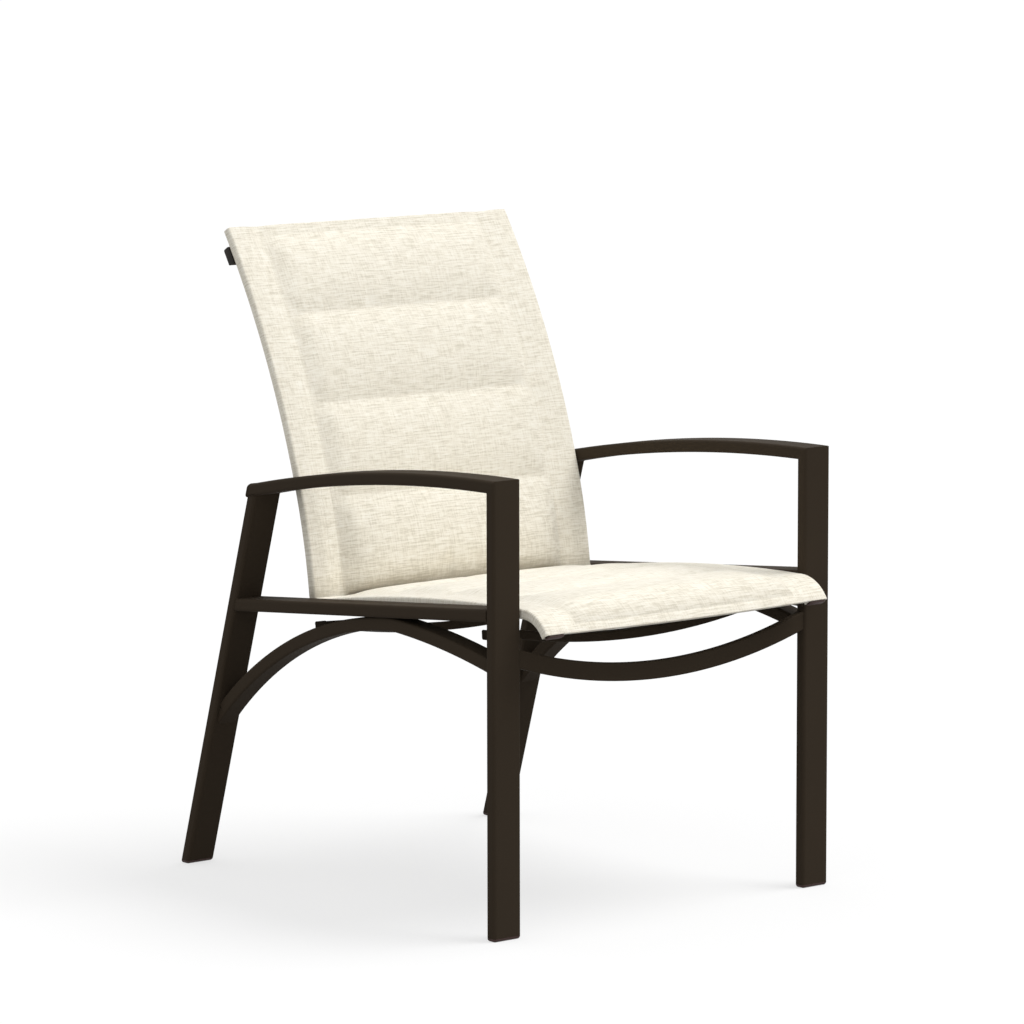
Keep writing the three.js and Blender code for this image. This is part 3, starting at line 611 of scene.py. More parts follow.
def make_side_frames():
    leg = swept_rings(
        Route(TUBE_THICK / 2, GLIDE_THICK, QUARTER_TURN, [(ARM_HEIGHT - TUBE_THICK - GLIDE_THICK,)]),
        TUBE_OUTLINE, None, MITRE,
    )
    arm_line = arm_route()
    arm = swept_rings(arm_line, TUBE_OUTLINE, MITRE, REAR_LEG_BACK, ARM_BEND_STEP)
    arm_end = arm_line.at(arm_line.length)
    plate_back = moved_line(REAR_LEG_BACK, -ARM_PLATE_THICK)
    plate = swept_rings(Route(*arm_end, [(ARM_PLATE_THICK,)]), TUBE_OUTLINE, REAR_LEG_BACK, plate_back)
    leg_line = rear_leg_route()
    leg_top = leg_line.at(leg_line.length)
    under_arm = (leg_top[0], leg_top[1], -math.asin(leg_top[0] / (ARM_RADIUS - TUBE_THICK)))
    rear_leg = swept_rings(leg_line, TUBE_OUTLINE, FLOOR_CUT, moved_line(under_arm, WELD_BITE))
    start = side_rail_start()
    rail_length = REAR_LEG_REACH - start[0]
    rail = swept_rings(Route(*start, [(rail_length,)]), TUBE_OUTLINE, FRONT_LEG_FACE, REAR_LEG_FACE)
    arch = swept_rings(arch_route(), ARCH_OUTLINE, FRONT_LEG_FACE, REAR_LEG_FACE, ARCH_BEND_STEP)
    joints = [rear_leg[-1], rail[0], rail[-1], arch[0], arch[-1], arm[-1]]
    for tag, sign in SIDES:
        shift = side_shift(sign)
        frame_piece(f"front_leg_tube_{tag}", moved(leg, shift), f"front_leg_{tag}")
        frame_piece(f"arm_tube_{tag}", moved(arm, shift), f"arm_{tag}")
        frame_piece(f"arm_plate_{tag}", moved(plate, shift), f"arm_end_{tag}")
        frame_piece(f"rear_leg_tube_{tag}", moved(rear_leg, shift), f"rear_leg_{tag}")
        frame_piece(f"side_rail_tube_{tag}", moved(rail, shift), f"side_rail_{tag}")
        frame_piece(f"side_arch_tube_{tag}", moved(arch, shift), f"side_arch_{tag}")
        weld_rings.extend(moved(joints, shift))


# Bars across the chair: routes in the YZ plane, turned so that they run along X
ACROSS = Matrix.Rotation(-QUARTER_TURN, 4, "Z")


def upright(y):
    return y, 0, QUARTER_TURN


def make_stretcher():
    half = SIDE_INSIDE + WELD_BITE
    turn = math.asin(half / STRETCHER_RADIUS)
    rise = STRETCHER_RADIUS * (1 - math.cos(turn))
    route = Route(-half, STRETCHER_LOW + BAR_DEPTH / 2 + rise, -turn, [(STRETCHER_RADIUS, 2 * turn)])
    outline = rounded_outline(BAR_THICK, BAR_DEPTH, BAR_CORNER)
    rings = swept_rings(route, outline, upright(-half), upright(half))
    shift = Matrix.Translation((0, STRETCHER_SETBACK + BAR_THICK / 2, 0))
    rings = moved(rings, shift @ ACROSS)
    frame_piece("front_stretcher_tube", rings, "front_stretcher")
    weld_rings.extend([rings[0], rings[-1]])


def bar_route(half):
    bow = BAR_BOW_RADIUS * math.sin(BAR_BOW_ANGLE)
    ease = BAR_EASE_RADIUS * (math.sin(BAR_BOW_ANGLE) - math.sin(BAR_FLAT_ANGLE))
    flat = (half - bow - ease) / math.cos(BAR_FLAT_ANGLE)
    rise = (
        BAR_BOW_RADIUS * (1 - math.cos(BAR_BOW_ANGLE))
        + BAR_EASE_RADIUS * (math.cos(BAR_FLAT_ANGLE) - math.cos(BAR_BOW_ANGLE))
        + flat * math.sin(BAR_FLAT_ANGLE)
    )
    ease_turn = -(BAR_BOW_ANGLE - BAR_FLAT_ANGLE)
    return Route(-half, rise, -BAR_FLAT_ANGLE, [
        (flat,),
        (BAR_EASE_RADIUS, ease_turn),
        (BAR_BOW_RADIUS, 2 * BAR_BOW_ANGLE),
        (BAR_EASE_RADIUS, ease_turn),
        (flat,),
    ])


def make_seat_bars():
    half = SIDE_INSIDE - BAR_END_GAP
    outline = rounded_outline(BAR_DEPTH, BAR_THICK, BAR_CORNER)
    rings = swept_rings(bar_route(half), outline, upright(-half), upright(half))
    for tag, reach, low, tilt in SEAT_BARS:
        turn = Matrix.Rotation(-tilt, 4, "X")
        middle = turn @ Vector((0, BAR_DEPTH / 2, BAR_THICK / 2)) + Vector((0, reach, low))
        bar = moved(rings, Matrix.Translation(middle) @ turn @ ACROSS)
        frame_piece(f"seat_crossbar_{tag}_tube", bar, f"seat_crossbar_{tag}")
        weld_rings.extend([bar[0], bar[-1]])


# Sling rails' route, which the sling and the back crossbar follow
KNEE_CENTRE = KNEE_RADIUS - SLEEVE_HALF
RAIL_ROUTE = Route(
    -KNEE_CENTRE * math.sin(KNEE_ANGLE),
    SEAT_HEIGHT - SLEEVE_HALF - KNEE_CENTRE * (1 - math.cos(KNEE_ANGLE)),
    KNEE_ANGLE,
    [
        (KNEE_CENTRE, -KNEE_ANGLE),
        (SEAT_RADIUS - SLEEVE_HALF, -SEAT_ANGLE),
        (HIP_RADIUS + SLEEVE_HALF, HIP_ANGLE),
        (BACK_LOWER_RADIUS - SLEEVE_HALF, -BACK_LOWER_ANGLE),
        (BACK_UPPER_RADIUS - SLEEVE_HALF, -BACK_UPPER_ANGLE),
    ],
)
KNEE_END = RAIL_ROUTE.lengths[0]
HIP_MIDDLE = sum(RAIL_ROUTE.lengths[:2]) + RAIL_ROUTE.lengths[2] / 2
SLING_END = RAIL_ROUTE.length + SLEEVE_OVERHANG


def make_back_bar():
    behind = SLEEVE_HALF + BAR_THICK / 2
    y, z, angle = moved_line(RAIL_ROUTE.at(RAIL_ROUTE.length - BACK_BAR_DROP), -behind)
    route = Route(-BACK_BAR_HALF, 0, 0, [(2 * BACK_BAR_HALF,)])
    outline = rounded_outline(BAR_DEPTH, BAR_THICK, BAR_CORNER)
    place = Matrix.Translation((0, y, z)) @ Matrix.Rotation(angle, 4, "X") @ ACROSS
    frame_piece("back_crossbar_tube", moved(swept_rings(route, outline), place), "back_crossbar")


# Feet: rounded under each leg
GLIDE_ROUND_STEPS = 6
GLIDE_TOP_EASE = ((0, 0.4 * MM), (0.5 * MM, 0.1 * MM))


def foot_rings(centre_y, rake):
    """Rings of a foot from its rounded underside up to its leg."""
    levels = []
    for step in range(GLIDE_ROUND_STEPS + 1):
        angle = QUARTER_TURN * step / GLIDE_ROUND_STEPS
        levels.append((GLIDE_ROUND * (1 - math.sin(angle)), GLIDE_ROUND * (1 - math.cos(angle))))
    levels += [(inset, GLIDE_THICK - below) for inset, below in GLIDE_TOP_EASE]
    rings = []
    for inset, z in levels:
        outline = rounded_outline(TUBE_WIDTH - 2 * inset, TUBE_THICK - 2 * inset, TUBE_CORNER - inset)
        centre = centre_y - z * math.tan(rake)
        rings.append([Vector((x, centre - y / math.cos(rake), z)) for x, y in outline])
    return rings


def make_glides():
    rear_centre = REAR_LEG_MIDDLE[0] + REAR_LEG_MIDDLE[1] * math.tan(REAR_LEG_RAKE)
    feet = (("front", foot_rings(TUBE_THICK / 2, 0)), ("rear", foot_rings(rear_centre, REAR_LEG_RAKE)))
    for tag, sign in SIDES:
        for where, rings in feet:
            piece = loft(f"{where}_foot_{tag}", moved(rings, side_shift(sign)))
            finished(piece, MOULDED_PLASTIC, "feet", f"{where}_glide_{tag}")


# Plates and plugs: the solids themselves, with eased edges
PLATE_EASE = 0.5 * MM
PLUG_EASE = 0.45 * MM
SAME_PLACE = 0.005 * MM
SAME_PLANE = math.radians(1)


def eased_copy(node, name, ease, material, slot):
    """A copy of a solid with its sharp edges eased."""
    shell = bmesh.new()
    shell.from_mesh(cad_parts[node].data)
    bmesh.ops.remove_doubles(shell, verts=shell.verts, dist=SAME_PLACE)
    bmesh.ops.dissolve_limit(
        shell, angle_limit=SAME_PLANE, verts=shell.verts, edges=shell.edges,
        use_dissolve_boundaries=False,
    )
    sharp = [edge for edge in shell.edges if edge.is_manifold and edge.calc_face_angle(0) > SMOOTH_ANGLE]
    bmesh.ops.bevel(
        shell, geom=sharp, offset=ease, offset_type="OFFSET", segments=2, profile=0.5, affect="EDGES",
        clamp_overlap=True,
    )
    mesh = bpy.data.meshes.new(name)
    shell.to_mesh(mesh)
    shell.free()
    mesh.shade_smooth()
    mesh.set_sharp_from_angle(angle=SMOOTH_ANGLE)
    return finished(added(name, mesh), material, slot, node)


def make_small_parts():
    for tag, _ in SIDES:
        for part in ("rail_cleat_front", "rail_cleat_rear", "front_crossbar_lug", "rear_crossbar_cleat"):
            eased_copy(f"{part}_{tag}", f"{part}_{tag}_plate", PLATE_EASE, POWDER_COAT, "frame")
        for part in ("rail_cap_front", "rail_cap_top"):
            eased_copy(f"{part}_{tag}", f"{part}_{tag}_plug", PLUG_EASE, MOULDED_PLASTIC, "feet")
        eased_copy(f"back_crossbar_cap_{tag}", f"back_crossbar_plug_{tag}", PLUG_EASE, DARK_PLASTIC, "feet")
        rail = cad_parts[f"sling_rail_{tag}"]
        rail.data.materials.clear()
        rail.data.materials.append(POWDER_COAT)


def new_tool(name, inputs):
    """An empty Geometry Nodes tree with named inputs: its graph, its input sockets and their identifiers."""
    tree = bpy.data.node_groups.new(name, "GeometryNodeTree")
    tree.interface.new_socket(name="Geometry", in_out="INPUT", socket_type="NodeSocketGeometry")
    identifiers = {}
    for label, kind in inputs.items():
        socket = tree.interface.new_socket(name=label, in_out="INPUT", socket_type=kind)
        identifiers[label] = socket.identifier
    tree.interface.new_socket(name="Geometry", in_out="OUTPUT", socket_type="NodeSocketGeometry")
    graph = Graph(tree)
    entry = tree.nodes.new("NodeGroupInput")
    sockets = {socket.name: Value(graph, socket) for socket in entry.outputs if socket.name}
    return graph, sockets, identifiers


def close_tool(graph, geometry, material):
    """Ends a tree in Realize Instances and Set Material."""
    realized = graph.node("GeometryNodeRealizeInstances", None, {0: geometry})
    dressed = graph.node("GeometryNodeSetMaterial", None, {"Geometry": realized, "Material": material})
    graph.node("NodeGroupOutput", None, {0: dressed})


def run_tool(graph, identifiers, guide, values, name):
    """Runs a tree on a guide object and keeps the result as a plain mesh object."""
    modifier = guide.modifiers.new("tool", "NODES")
    modifier.node_group = graph.tree
    for label, value in values.items():
        modifier[identifiers[label]] = value
    depsgraph = bpy.context.evaluated_depsgraph_get()
    mesh = bpy.data.meshes.new_from_object(guide.evaluated_get(depsgraph))
    guide.modifiers.remove(modifier)
    bpy.data.objects.remove(guide)
    mesh.name = name
    mesh.shade_smooth()
    return added(name, mesh)


def guide_lines(name, lines, closed):
    """Polylines as one mesh of edges."""
    points = []
    edges = []
    for line in lines:
        start = len(points)
        points.extend(line)
        edges.extend((start + step, start + step + 1) for step in range(len(line) - 1))
        if closed:
            edges.append((start + len(line) - 1, start))
    mesh = bpy.data.meshes.new(name)
    mesh.from_pydata(points, edges, [])
    return added(name, mesh)


def bead_tool(name, material, segments, rings):
    """Ellipsoids at even steps along lines: weld ripples or stitches, by their sizes."""
    graph, sockets, identifiers = new_tool(name, {
        "Pitch": "NodeSocketFloat",
        "Long": "NodeSocketFloat",
        "Thick": "NodeSocketFloat",
        "Variation": "NodeSocketFloat",
        "Seed": "NodeSocketInt",
    })
    curve = graph.node("GeometryNodeMeshToCurve", None, {0: sockets["Geometry"]})
    spaced = graph.node(
        "GeometryNodeResampleCurve", {"mode": "LENGTH"}, {"Curve": curve, "Length": sockets["Pitch"]}
    )
    bead = graph.node("GeometryNodeMeshUVSphere", None, {"Segments": segments, "Rings": rings, "Radius": 0.5})
    tangent = graph.node("GeometryNodeInputTangent")
    turn = graph.node("FunctionNodeAlignRotationToVector", {"axis": "Z"}, {"Vector": tangent})
    size = graph.node(
        "ShaderNodeCombineXYZ", None, {0: sockets["Thick"], 1: sockets["Thick"], 2: sockets["Long"]}
    )
    spread = graph.node(
        "FunctionNodeRandomValue",
        {"data_type": "FLOAT"},
        {"Min": 1 - sockets["Variation"], "Max": 1 + sockets["Variation"], "Seed": sockets["Seed"]},
        output=1,
    )
    scale = graph.node("ShaderNodeVectorMath", {"operation": "SCALE"}, {0: size, "Scale": spread})
    beads = graph.node(
        "GeometryNodeInstanceOnPoints",
        None,
        {"Points": spaced, "Instance": bead, "Rotation": turn, "Scale": scale},
    )
    close_tool(graph, beads, material)
    return graph, identifiers


WELD_RIPPLES = {
    "Pitch": 1.5 * MM, "Long": 3.0 * MM, "Thick": 1.5 * MM, "Variation": 0.08, "Seed": 7,
}


def make_welds():
    """Weld ripples round every joint of the frame, under the coat."""
    graph, identifiers = bead_tool("weld_tool", POWDER_COAT, segments=8, rings=6)
    lines = [[(x, y + FRONT_Y, z) for x, y, z in ring] for ring in weld_rings]
    guide = guide_lines("weld_guide", lines, closed=True)
    finished(run_tool(graph, identifiers, guide, WELD_RIPPLES, "weld_beads"), POWDER_COAT, "frame")


# Padded sling: x runs across it, and distance along it from its front hem
CREASE_X = SLING_HALF - BORDER_WIDTH
INNER_X = SLING_HALF - SLEEVE_WIDTH
TOP_SEAM = SLING_END - TOP_BORDER_WIDTH
PANEL_EDGES = (
    [HEM_WIDTH]
    + [FIRST_PANEL_START + PANEL_LENGTH * panel for panel in range(1, 4)]
    + [HIP_MIDDLE]
    + [TOP_SEAM - end for end in reversed(BACK_PANEL_ENDS)]
)
OUTER_EDGES = (PANEL_EDGES[0], PANEL_EDGES[-1])

# Forms of the panels
PANEL_PUFF = 4.2 * MM
PANEL_ROLL = 28 * MM
PANEL_ROUND = 30 * MM
PANEL_CROWN = 1.6 * MM
PANEL_SHOULDER = 1.65
SEAT_UNDERSIDE_PUFF = 6.5 * MM
BACK_UNDERSIDE_PUFF = 2.6 * MM

# The full lower end of the back
HIP_START = 4 * MM
HIP_PUFF = 11 * MM
HIP_SIDE = 60 * MM
HIP_ROLL = 38 * MM
HIP_FADE = 100 * MM

# Seams, creases and the borders that fall into them
SEAM_DEPTH = 0.2 * MM
SEAM_ROUND = 6 * MM
SEAM_ROUND_SHARE = 0.8
SEAM_SPREAD = 2.6 * MM
SEAM_END = 4 * MM
HIP_SEAM_SHARE = 0.35
UNDERSIDE_SEAM_DEPTH = 0.9 * MM
CREASE_DEPTH = 0.15 * MM
BORDER_FALL = 3.2 * MM
SEAT_BORDER_FALL = 1.5 * MM
BORDER_FALL_START = INNER_X + 8 * MM
BORDER_FALL_POWER = 1.2
HEM_SAG = 2.8 * MM
HEM_SAG_LONG = 30 * MM

# Painted light and painted shade on the cloth: shares, how far they reach, and how they fade
# A painted highlight in a strip in each border, beside its crease
PAINTED_HIGHLIGHT_STRIP = 0.35
PAINTED_HIGHLIGHT_OFF = 14 * MM
PAINTED_HIGHLIGHT_SPREAD = 12 * MM
# Painted shade where the back curls under onto the seat, weaker over the borders
PAINTED_HIP_SHADE = (2.5, 34 * MM, 1.3)
PAINTED_HIP_SHADE_BORDER = 0.6
# Painted shade over the lower back, fading upwards
PAINTED_LOW_BACK_SHADE = (0.35, 150 * MM, 0.7)
# Painted shade over the front roll, from the hem seam upwards
PAINTED_FRONT_SHADE = (0.55, 34 * MM, 1.2)
# How far inside the creases the painted shade of the seams, the front and the hip fades in
PAINTED_SHADE_EDGE = 6 * MM
# Painted shade along the channel seams, on the back and on the seat
PAINTED_BACK_SEAM_SHADE = 0.1
PAINTED_SEAT_SEAM_SHADE = 0.6
# Painted light over the top of the seat, rising in from the front
PAINTED_SEAT_LIGHT = 0.9
PAINTED_SEAT_LIGHT_FROM = 60 * MM
PAINTED_SEAT_LIGHT_TO = 110 * MM


def bell(value, spread):
    return np.exp(-((value / spread) ** 2))


def inside_share(x, width):
    """0 at the creases and in the borders, rising to 1 a width inside them."""
    return np.clip((CREASE_X - np.abs(x)) / width, 0, 1)


def fading(distance, share, reach, power):
    """The share at 0, fading to nothing at the reach; nothing before 0."""
    return np.where(distance > 0, share * np.clip(1 - distance / reach, 0, 1) ** power, 0)


def panel_rise(x, distance):
    """A panel's top over its seams, from 0 to 1: round at its corners, but square by the hip."""
    rise = np.zeros_like(x)
    for low, high in zip(PANEL_EDGES, PANEL_EDGES[1:]):
        half = (high - low) / 2
        off_x = np.abs(x) - CREASE_X + PANEL_ROUND
        off_s = np.abs(distance - (low + high) / 2) - half + PANEL_ROUND
        outside = np.hypot(np.maximum(off_x, 0), np.maximum(off_s, 0))
        rounded = PANEL_ROUND - outside - np.minimum(np.maximum(off_x, off_s), 0)
        square = PANEL_ROUND - np.maximum(off_x, off_s)
        inward = np.where(np.abs(distance - HIP_MIDDLE) < half, square, rounded)
        inward = np.sqrt(np.maximum(inward, 0) ** 2 + SEAM_ROUND ** 2) - SEAM_ROUND
        share = np.clip(inward / (PANEL_ROLL - SEAM_ROUND_SHARE * SEAM_ROUND), 0, 1)
        rise = np.maximum(rise, 1 - (1 - share) ** PANEL_SHOULDER)
    return rise


def hip_curl(x, distance):
    """The full lower end of the back, which curls under where it meets the seat."""
    above = distance - HIP_MIDDLE - HIP_START
    share = np.clip(above / HIP_ROLL, 0, 1)
    fade = np.clip(1 - (above - HIP_ROLL) / HIP_FADE, 0, 1)
    side = inside_share(x, HIP_SIDE)
    return np.sqrt(1 - (1 - share) ** 2) * fade ** 2 * (3 - 2 * fade) * side * (2 - side)


def painted_light_and_shade(x, distance):
    """Painted light and shade on the cloth: over 0 where light is painted beside the creases and over the
    seat, under 0 where shade is painted in seams, over the hem and low on the back.
    """
    above_hip = distance - HIP_MIDDLE
    inside = inside_share(x, PAINTED_SHADE_EDGE)
    # The strip and the seat are painted light; the seams, the front, the hip and the low back are painted
    # shade
    strip = PAINTED_HIGHLIGHT_STRIP * bell(np.abs(x) - CREASE_X - PAINTED_HIGHLIGHT_OFF, PAINTED_HIGHLIGHT_SPREAD)
    seat = np.clip((distance - PAINTED_SEAT_LIGHT_FROM) / (PAINTED_SEAT_LIGHT_TO - PAINTED_SEAT_LIGHT_FROM), 0, 1)
    seams = sum(bell(distance - edge, 2 * SEAM_SPREAD) for edge in PANEL_EDGES[1:-1])
    seams = seams * np.where(above_hip > 0, PAINTED_BACK_SEAM_SHADE, PAINTED_SEAT_SEAM_SHADE)
    front = fading(distance - PANEL_EDGES[0], *PAINTED_FRONT_SHADE)
    hip = (PAINTED_HIP_SHADE_BORDER + (1 - PAINTED_HIP_SHADE_BORDER) * inside) * fading(above_hip, *PAINTED_HIP_SHADE)
    light = strip + np.where(above_hip > 0, 0, PAINTED_SEAT_LIGHT * seat)
    return light - inside * (seams + front) - hip - fading(above_hip, *PAINTED_LOW_BACK_SHADE)


def top_height(x, distance):
    """Height of the sitting side over the rails' middle."""
    crown = PANEL_CROWN * np.clip(1 - (x / CREASE_X) ** 2, 0, 1)
    height = SLEEVE_HALF + panel_rise(x, distance) * (PANEL_PUFF + crown) + HIP_PUFF * hip_curl(x, distance)
    beside = np.abs(x) - CREASE_X
    along_seams = (distance > OUTER_EDGES[0]) & (distance < OUTER_EDGES[1])
    height = height - np.where(along_seams, CREASE_DEPTH * bell(beside, SEAM_SPREAD), 0)
    fall_out = np.clip((BORDER_FALL_START - np.abs(x)) / (BORDER_FALL_START - CREASE_X), 0, 1)
    fall_in = np.clip(1 + beside / PANEL_ROLL, 0, 1) ** BORDER_FALL_POWER
    fall = np.where(distance > HIP_MIDDLE, BORDER_FALL, SEAT_BORDER_FALL)
    height = height - fall * np.where(beside > 0, fall_out, fall_in)
    for edge in PANEL_EDGES:
        across = 1 if edge in OUTER_EDGES else inside_share(x, SEAM_END)
        share = HIP_SEAM_SHARE if edge == HIP_MIDDLE else 1
        height = height - share * SEAM_DEPTH * across * bell(distance - edge, SEAM_SPREAD)
    return height


def under_height(x, distance):
    """Height of the sling's underside over the rails' middle."""
    puff = np.where(distance < HIP_MIDDLE, SEAT_UNDERSIDE_PUFF, BACK_UNDERSIDE_PUFF)
    height = SLEEVE_HALF - SHEET_THICK - puff * panel_rise(x, distance)
    for edge in PANEL_EDGES[1:-1]:
        seam = inside_share(x, SEAM_END) * bell(distance - edge, SEAM_SPREAD)
        height = height + UNDERSIDE_SEAM_DEPTH * seam
    return height


# Places of the sling's points: offsets from a crease, a seam or an end in millimetres, and steps between rows
CREASE_OFFSETS = (-8, -5, -2.6, -1.2, 0, 1.2, 2.6, 5, 8)
PANEL_COLUMNS = 26
BORDER_COLUMNS = 6
SEAM_OFFSETS = (-9, -5.5, -3, -1.3, 1.3, 3, 5.5, 9)
END_OFFSETS = (1.2, 3.5)
ROW_STEP = 8.5 * MM
KNEE_STEP = 5 * MM
HIP_STEP = 1.8 * MM
HIP_REACH = 24 * MM
LEAST_STEP = 1.1 * MM


def sling_columns():
    """Places across the sling between its sleeves, closer together beside the creases."""
    right = [CREASE_X + off * MM for off in CREASE_OFFSETS]
    inside = np.linspace(0, right[0], PANEL_COLUMNS)[:-1]
    border = np.linspace(right[-1], INNER_X, BORDER_COLUMNS)[1:]
    half = [*inside, *right, *border]
    return [-x for x in reversed(half[1:])] + half


def sling_rows():
    """Distances along the sling, closer together at seams and in tight bends."""
    fixed = {0.0, SLING_END, *PANEL_EDGES}
    rows = [*fixed, *np.arange(0, KNEE_END, KNEE_STEP), *np.arange(0, SLING_END, ROW_STEP)]
    rows += list(np.arange(HIP_MIDDLE - HIP_REACH, HIP_MIDDLE + HIP_REACH, HIP_STEP))
    rows += [edge + off * MM for edge in PANEL_EDGES for off in SEAM_OFFSETS]
    for off in END_OFFSETS:
        rows += [off * MM, SLING_END - off * MM]
    kept = []
    for row in sorted(rows):
        if not 0 <= row <= SLING_END:
            continue
        if kept and row - kept[-1] < LEAST_STEP:
            if row in fixed:
                kept[-1] = row
            continue
        kept.append(row)
    return kept


# Sleeves along the sling's sides
SLEEVE_CORNER = 3.6 * MM
SLEEVE_INNER_CORNER = 2.4 * MM
SLEEVE_TOP_SHARES = (0.3, 0.6, 0.85)
SLEEVE_UNDER_SHARES = (0.8, 0.5, 0.25)
SLEEVE_SEAM_DROP = 1.2 * MM
FABRIC_WALL = 1.6 * MM
TUNNEL_LIP = 0.8 * MM
TUNNEL_DEPTH = 4 * MM


def quarter_arc(centre, radius, start, steps):
    """Points of a quarter circle, clockwise from an angle."""
    angles = [start - QUARTER_TURN * step / steps for step in range(steps + 1)]
    return [(centre[0] + radius * math.cos(angle), centre[1] + radius * math.sin(angle)) for angle in angles]


def sleeve_arc():
    """The right sleeve's section from the top over the outside to under the sheet: (across, height)."""
    flat = SLEEVE_WIDTH - SLEEVE_CORNER
    outer_x = SLING_HALF - SLEEVE_CORNER
    corner_z = SLEEVE_HALF - SLEEVE_CORNER
    inner = (INNER_X + SLEEVE_INNER_CORNER, SLEEVE_INNER_CORNER - SLEEVE_HALF)
    return [
        *[(INNER_X + share * flat, SLEEVE_HALF) for share in SLEEVE_TOP_SHARES],
        *quarter_arc((outer_x, corner_z), SLEEVE_CORNER, QUARTER_TURN, 4),
        (SLING_HALF, 0),
        *quarter_arc((outer_x, -corner_z), SLEEVE_CORNER, 0, 4),
        *[(INNER_X + share * flat, -SLEEVE_HALF) for share in SLEEVE_UNDER_SHARES],
        *quarter_arc(inner, SLEEVE_INNER_CORNER, -QUARTER_TURN, 3),
        (INNER_X, -SLEEVE_SEAM_DROP),
    ]


FREE_RISE = 0.05


def sling_mesh():
    """The sling as one closed shell, with lay, its cloth coordinates and painted light and shade, and the
    free part's vertices.
    """
    columns = np.array(sling_columns())
    rows = sling_rows()
    arc = sleeve_arc()
    left_arc = [(-x, height) for x, height in reversed(arc)]
    count = len(columns)
    points = []
    lay = []
    free = []

    def add(x, height, distance, along):
        sag = HEM_SAG * max(0.0, 1 - (x / INNER_X) ** 2) * max(0.0, 1 - along / HEM_SAG_LONG)
        points.append(tuple(placed((x, height), RAIL_ROUTE.at(distance - sag))))
        # The painted light and shade of this place, kept as lay's third number
        light = float(painted_light_and_shade(np.float64(x), np.float64(along)))
        lay.append((x * (1 + (SLEEVE_HALF - height) / SLING_HALF), along, light))

    for row in rows:
        distances = np.full(count, row)
        rises = panel_rise(columns, distances)
        top = list(zip(columns, top_height(columns, distances), rises))
        under = list(zip(columns, under_height(columns, distances), rises))
        for sheet, sleeve in ((top, arc), (reversed(under), left_arc)):
            for x, height, rise in sheet:
                if rise > FREE_RISE:
                    free.append((len(points), rise))
                add(x, height, row, row)
            for x, height in sleeve:
                add(x, height, row, row)
    loop = 2 * count + 2 * len(arc)
    faces = []
    for row in range(len(rows) - 1):
        for step in range(loop):
            here = row * loop + step
            beside = row * loop + (step + 1) % loop
            faces.append((here, beside, beside + loop, here + loop))

    def close_end(row, inward):
        """The sheet's edge, and the open end of each sleeve with its rail's tunnel."""
        start = row * loop
        under_first = start + count + len(arc)
        for step in range(count - 1):
            under = under_first + count - 1 - step
            faces.append((start + step, start + step + 1, under - 1, under))
        right_ring = [start + count - 1 + step for step in range(len(arc) + 2)]
        left_ring = [start + (count + len(arc) + count - 1 + step) % loop for step in range(len(arc) + 2)]
        right_section = [(INNER_X, SLEEVE_HALF), *arc, (INNER_X, SLEEVE_HALF - SHEET_THICK)]
        left_section = [(-x, height) for x, height in reversed(right_section)]
        share_x = 1 - FABRIC_WALL / (SLEEVE_WIDTH / 2)
        share_z = 1 - FABRIC_WALL / SLEEVE_HALF
        for ring, section, sign in ((right_ring, right_section, 1), (left_ring, left_section, -1)):
            centre = sign * (SLING_HALF - SLEEVE_WIDTH / 2)
            rings = [ring]
            for depth in (0.0, TUNNEL_LIP, TUNNEL_DEPTH):
                rings.append(range(len(points), len(points) + len(ring)))
                for x, height in section:
                    inner_x = centre + (x - centre) * share_x
                    add(inner_x, height * share_z, rows[row] + inward * depth, rows[row])
            for outer, inner in zip(rings, rings[1:]):
                for step in range(len(ring)):
                    beside = (step + 1) % len(ring)
                    faces.append((outer[step], outer[beside], inner[beside], inner[step]))
            faces.append(tuple(rings[-1]))

    close_end(0, 1)
    close_end(len(rows) - 1, -1)
    return points, faces, lay, free


SWELL_LIMIT = 3.2 * MM
SWELL_FRAMES = 18
SWELL_PRESSURE = 4.0
SWELL_SLACK = 0.004
PIN_RELEASE = 2.2
CLOTH_MASS = 0.3
CLOTH_STRETCH = 18
CLOTH_SHEAR = 6
CLOTH_BEND = 2.5


def mesh_points(mesh):
    places = np.empty(len(mesh.vertices) * 3)
    mesh.vertices.foreach_get("co", places)
    return places.reshape(-1, 3)


def swell(piece, free):
    """Blows the panels up between their pinned seams as cloth, and keeps the limited result in the mesh."""
    before = mesh_points(piece.data)
    pins = piece.vertex_groups.new(name="pinned")
    shares = np.ones(len(before))
    for index, rise in free:
        shares[index] = max(0.0, 1 - PIN_RELEASE * rise)
    for index, share in enumerate(shares):
        if share > 0:
            pins.add([index], float(share), "REPLACE")
    cloth = piece.modifiers.new("swell", "CLOTH")
    settings = cloth.settings
    settings.quality = 6
    settings.mass = CLOTH_MASS
    settings.tension_stiffness = CLOTH_STRETCH
    settings.compression_stiffness = CLOTH_STRETCH
    settings.shear_stiffness = CLOTH_SHEAR
    settings.bending_stiffness = CLOTH_BEND
    settings.shrink_min = -SWELL_SLACK
    settings.use_pressure = True
    settings.uniform_pressure_force = SWELL_PRESSURE
    settings.vertex_group_mass = "pinned"
    settings.effector_weights.gravity = 0
    cloth.collision_settings.use_collision = False
    cloth.point_cache.frame_start = 1
    cloth.point_cache.frame_end = SWELL_FRAMES
    scene = bpy.context.scene
    for step in range(1, SWELL_FRAMES + 1):
        scene.frame_set(step)
    shift = mesh_points(piece.evaluated_get(bpy.context.evaluated_depsgraph_get()).data) - before
    length = np.linalg.norm(shift, axis=1, keepdims=True)
    limited = SWELL_LIMIT * np.tanh(length / SWELL_LIMIT)
    shift = shift * limited / np.maximum(length, 1e-9)
    piece.modifiers.remove(cloth)
    piece.vertex_groups.clear()
    scene.frame_set(1)
    piece.data.vertices.foreach_set("co", (before + shift).ravel())
    piece.data.update()


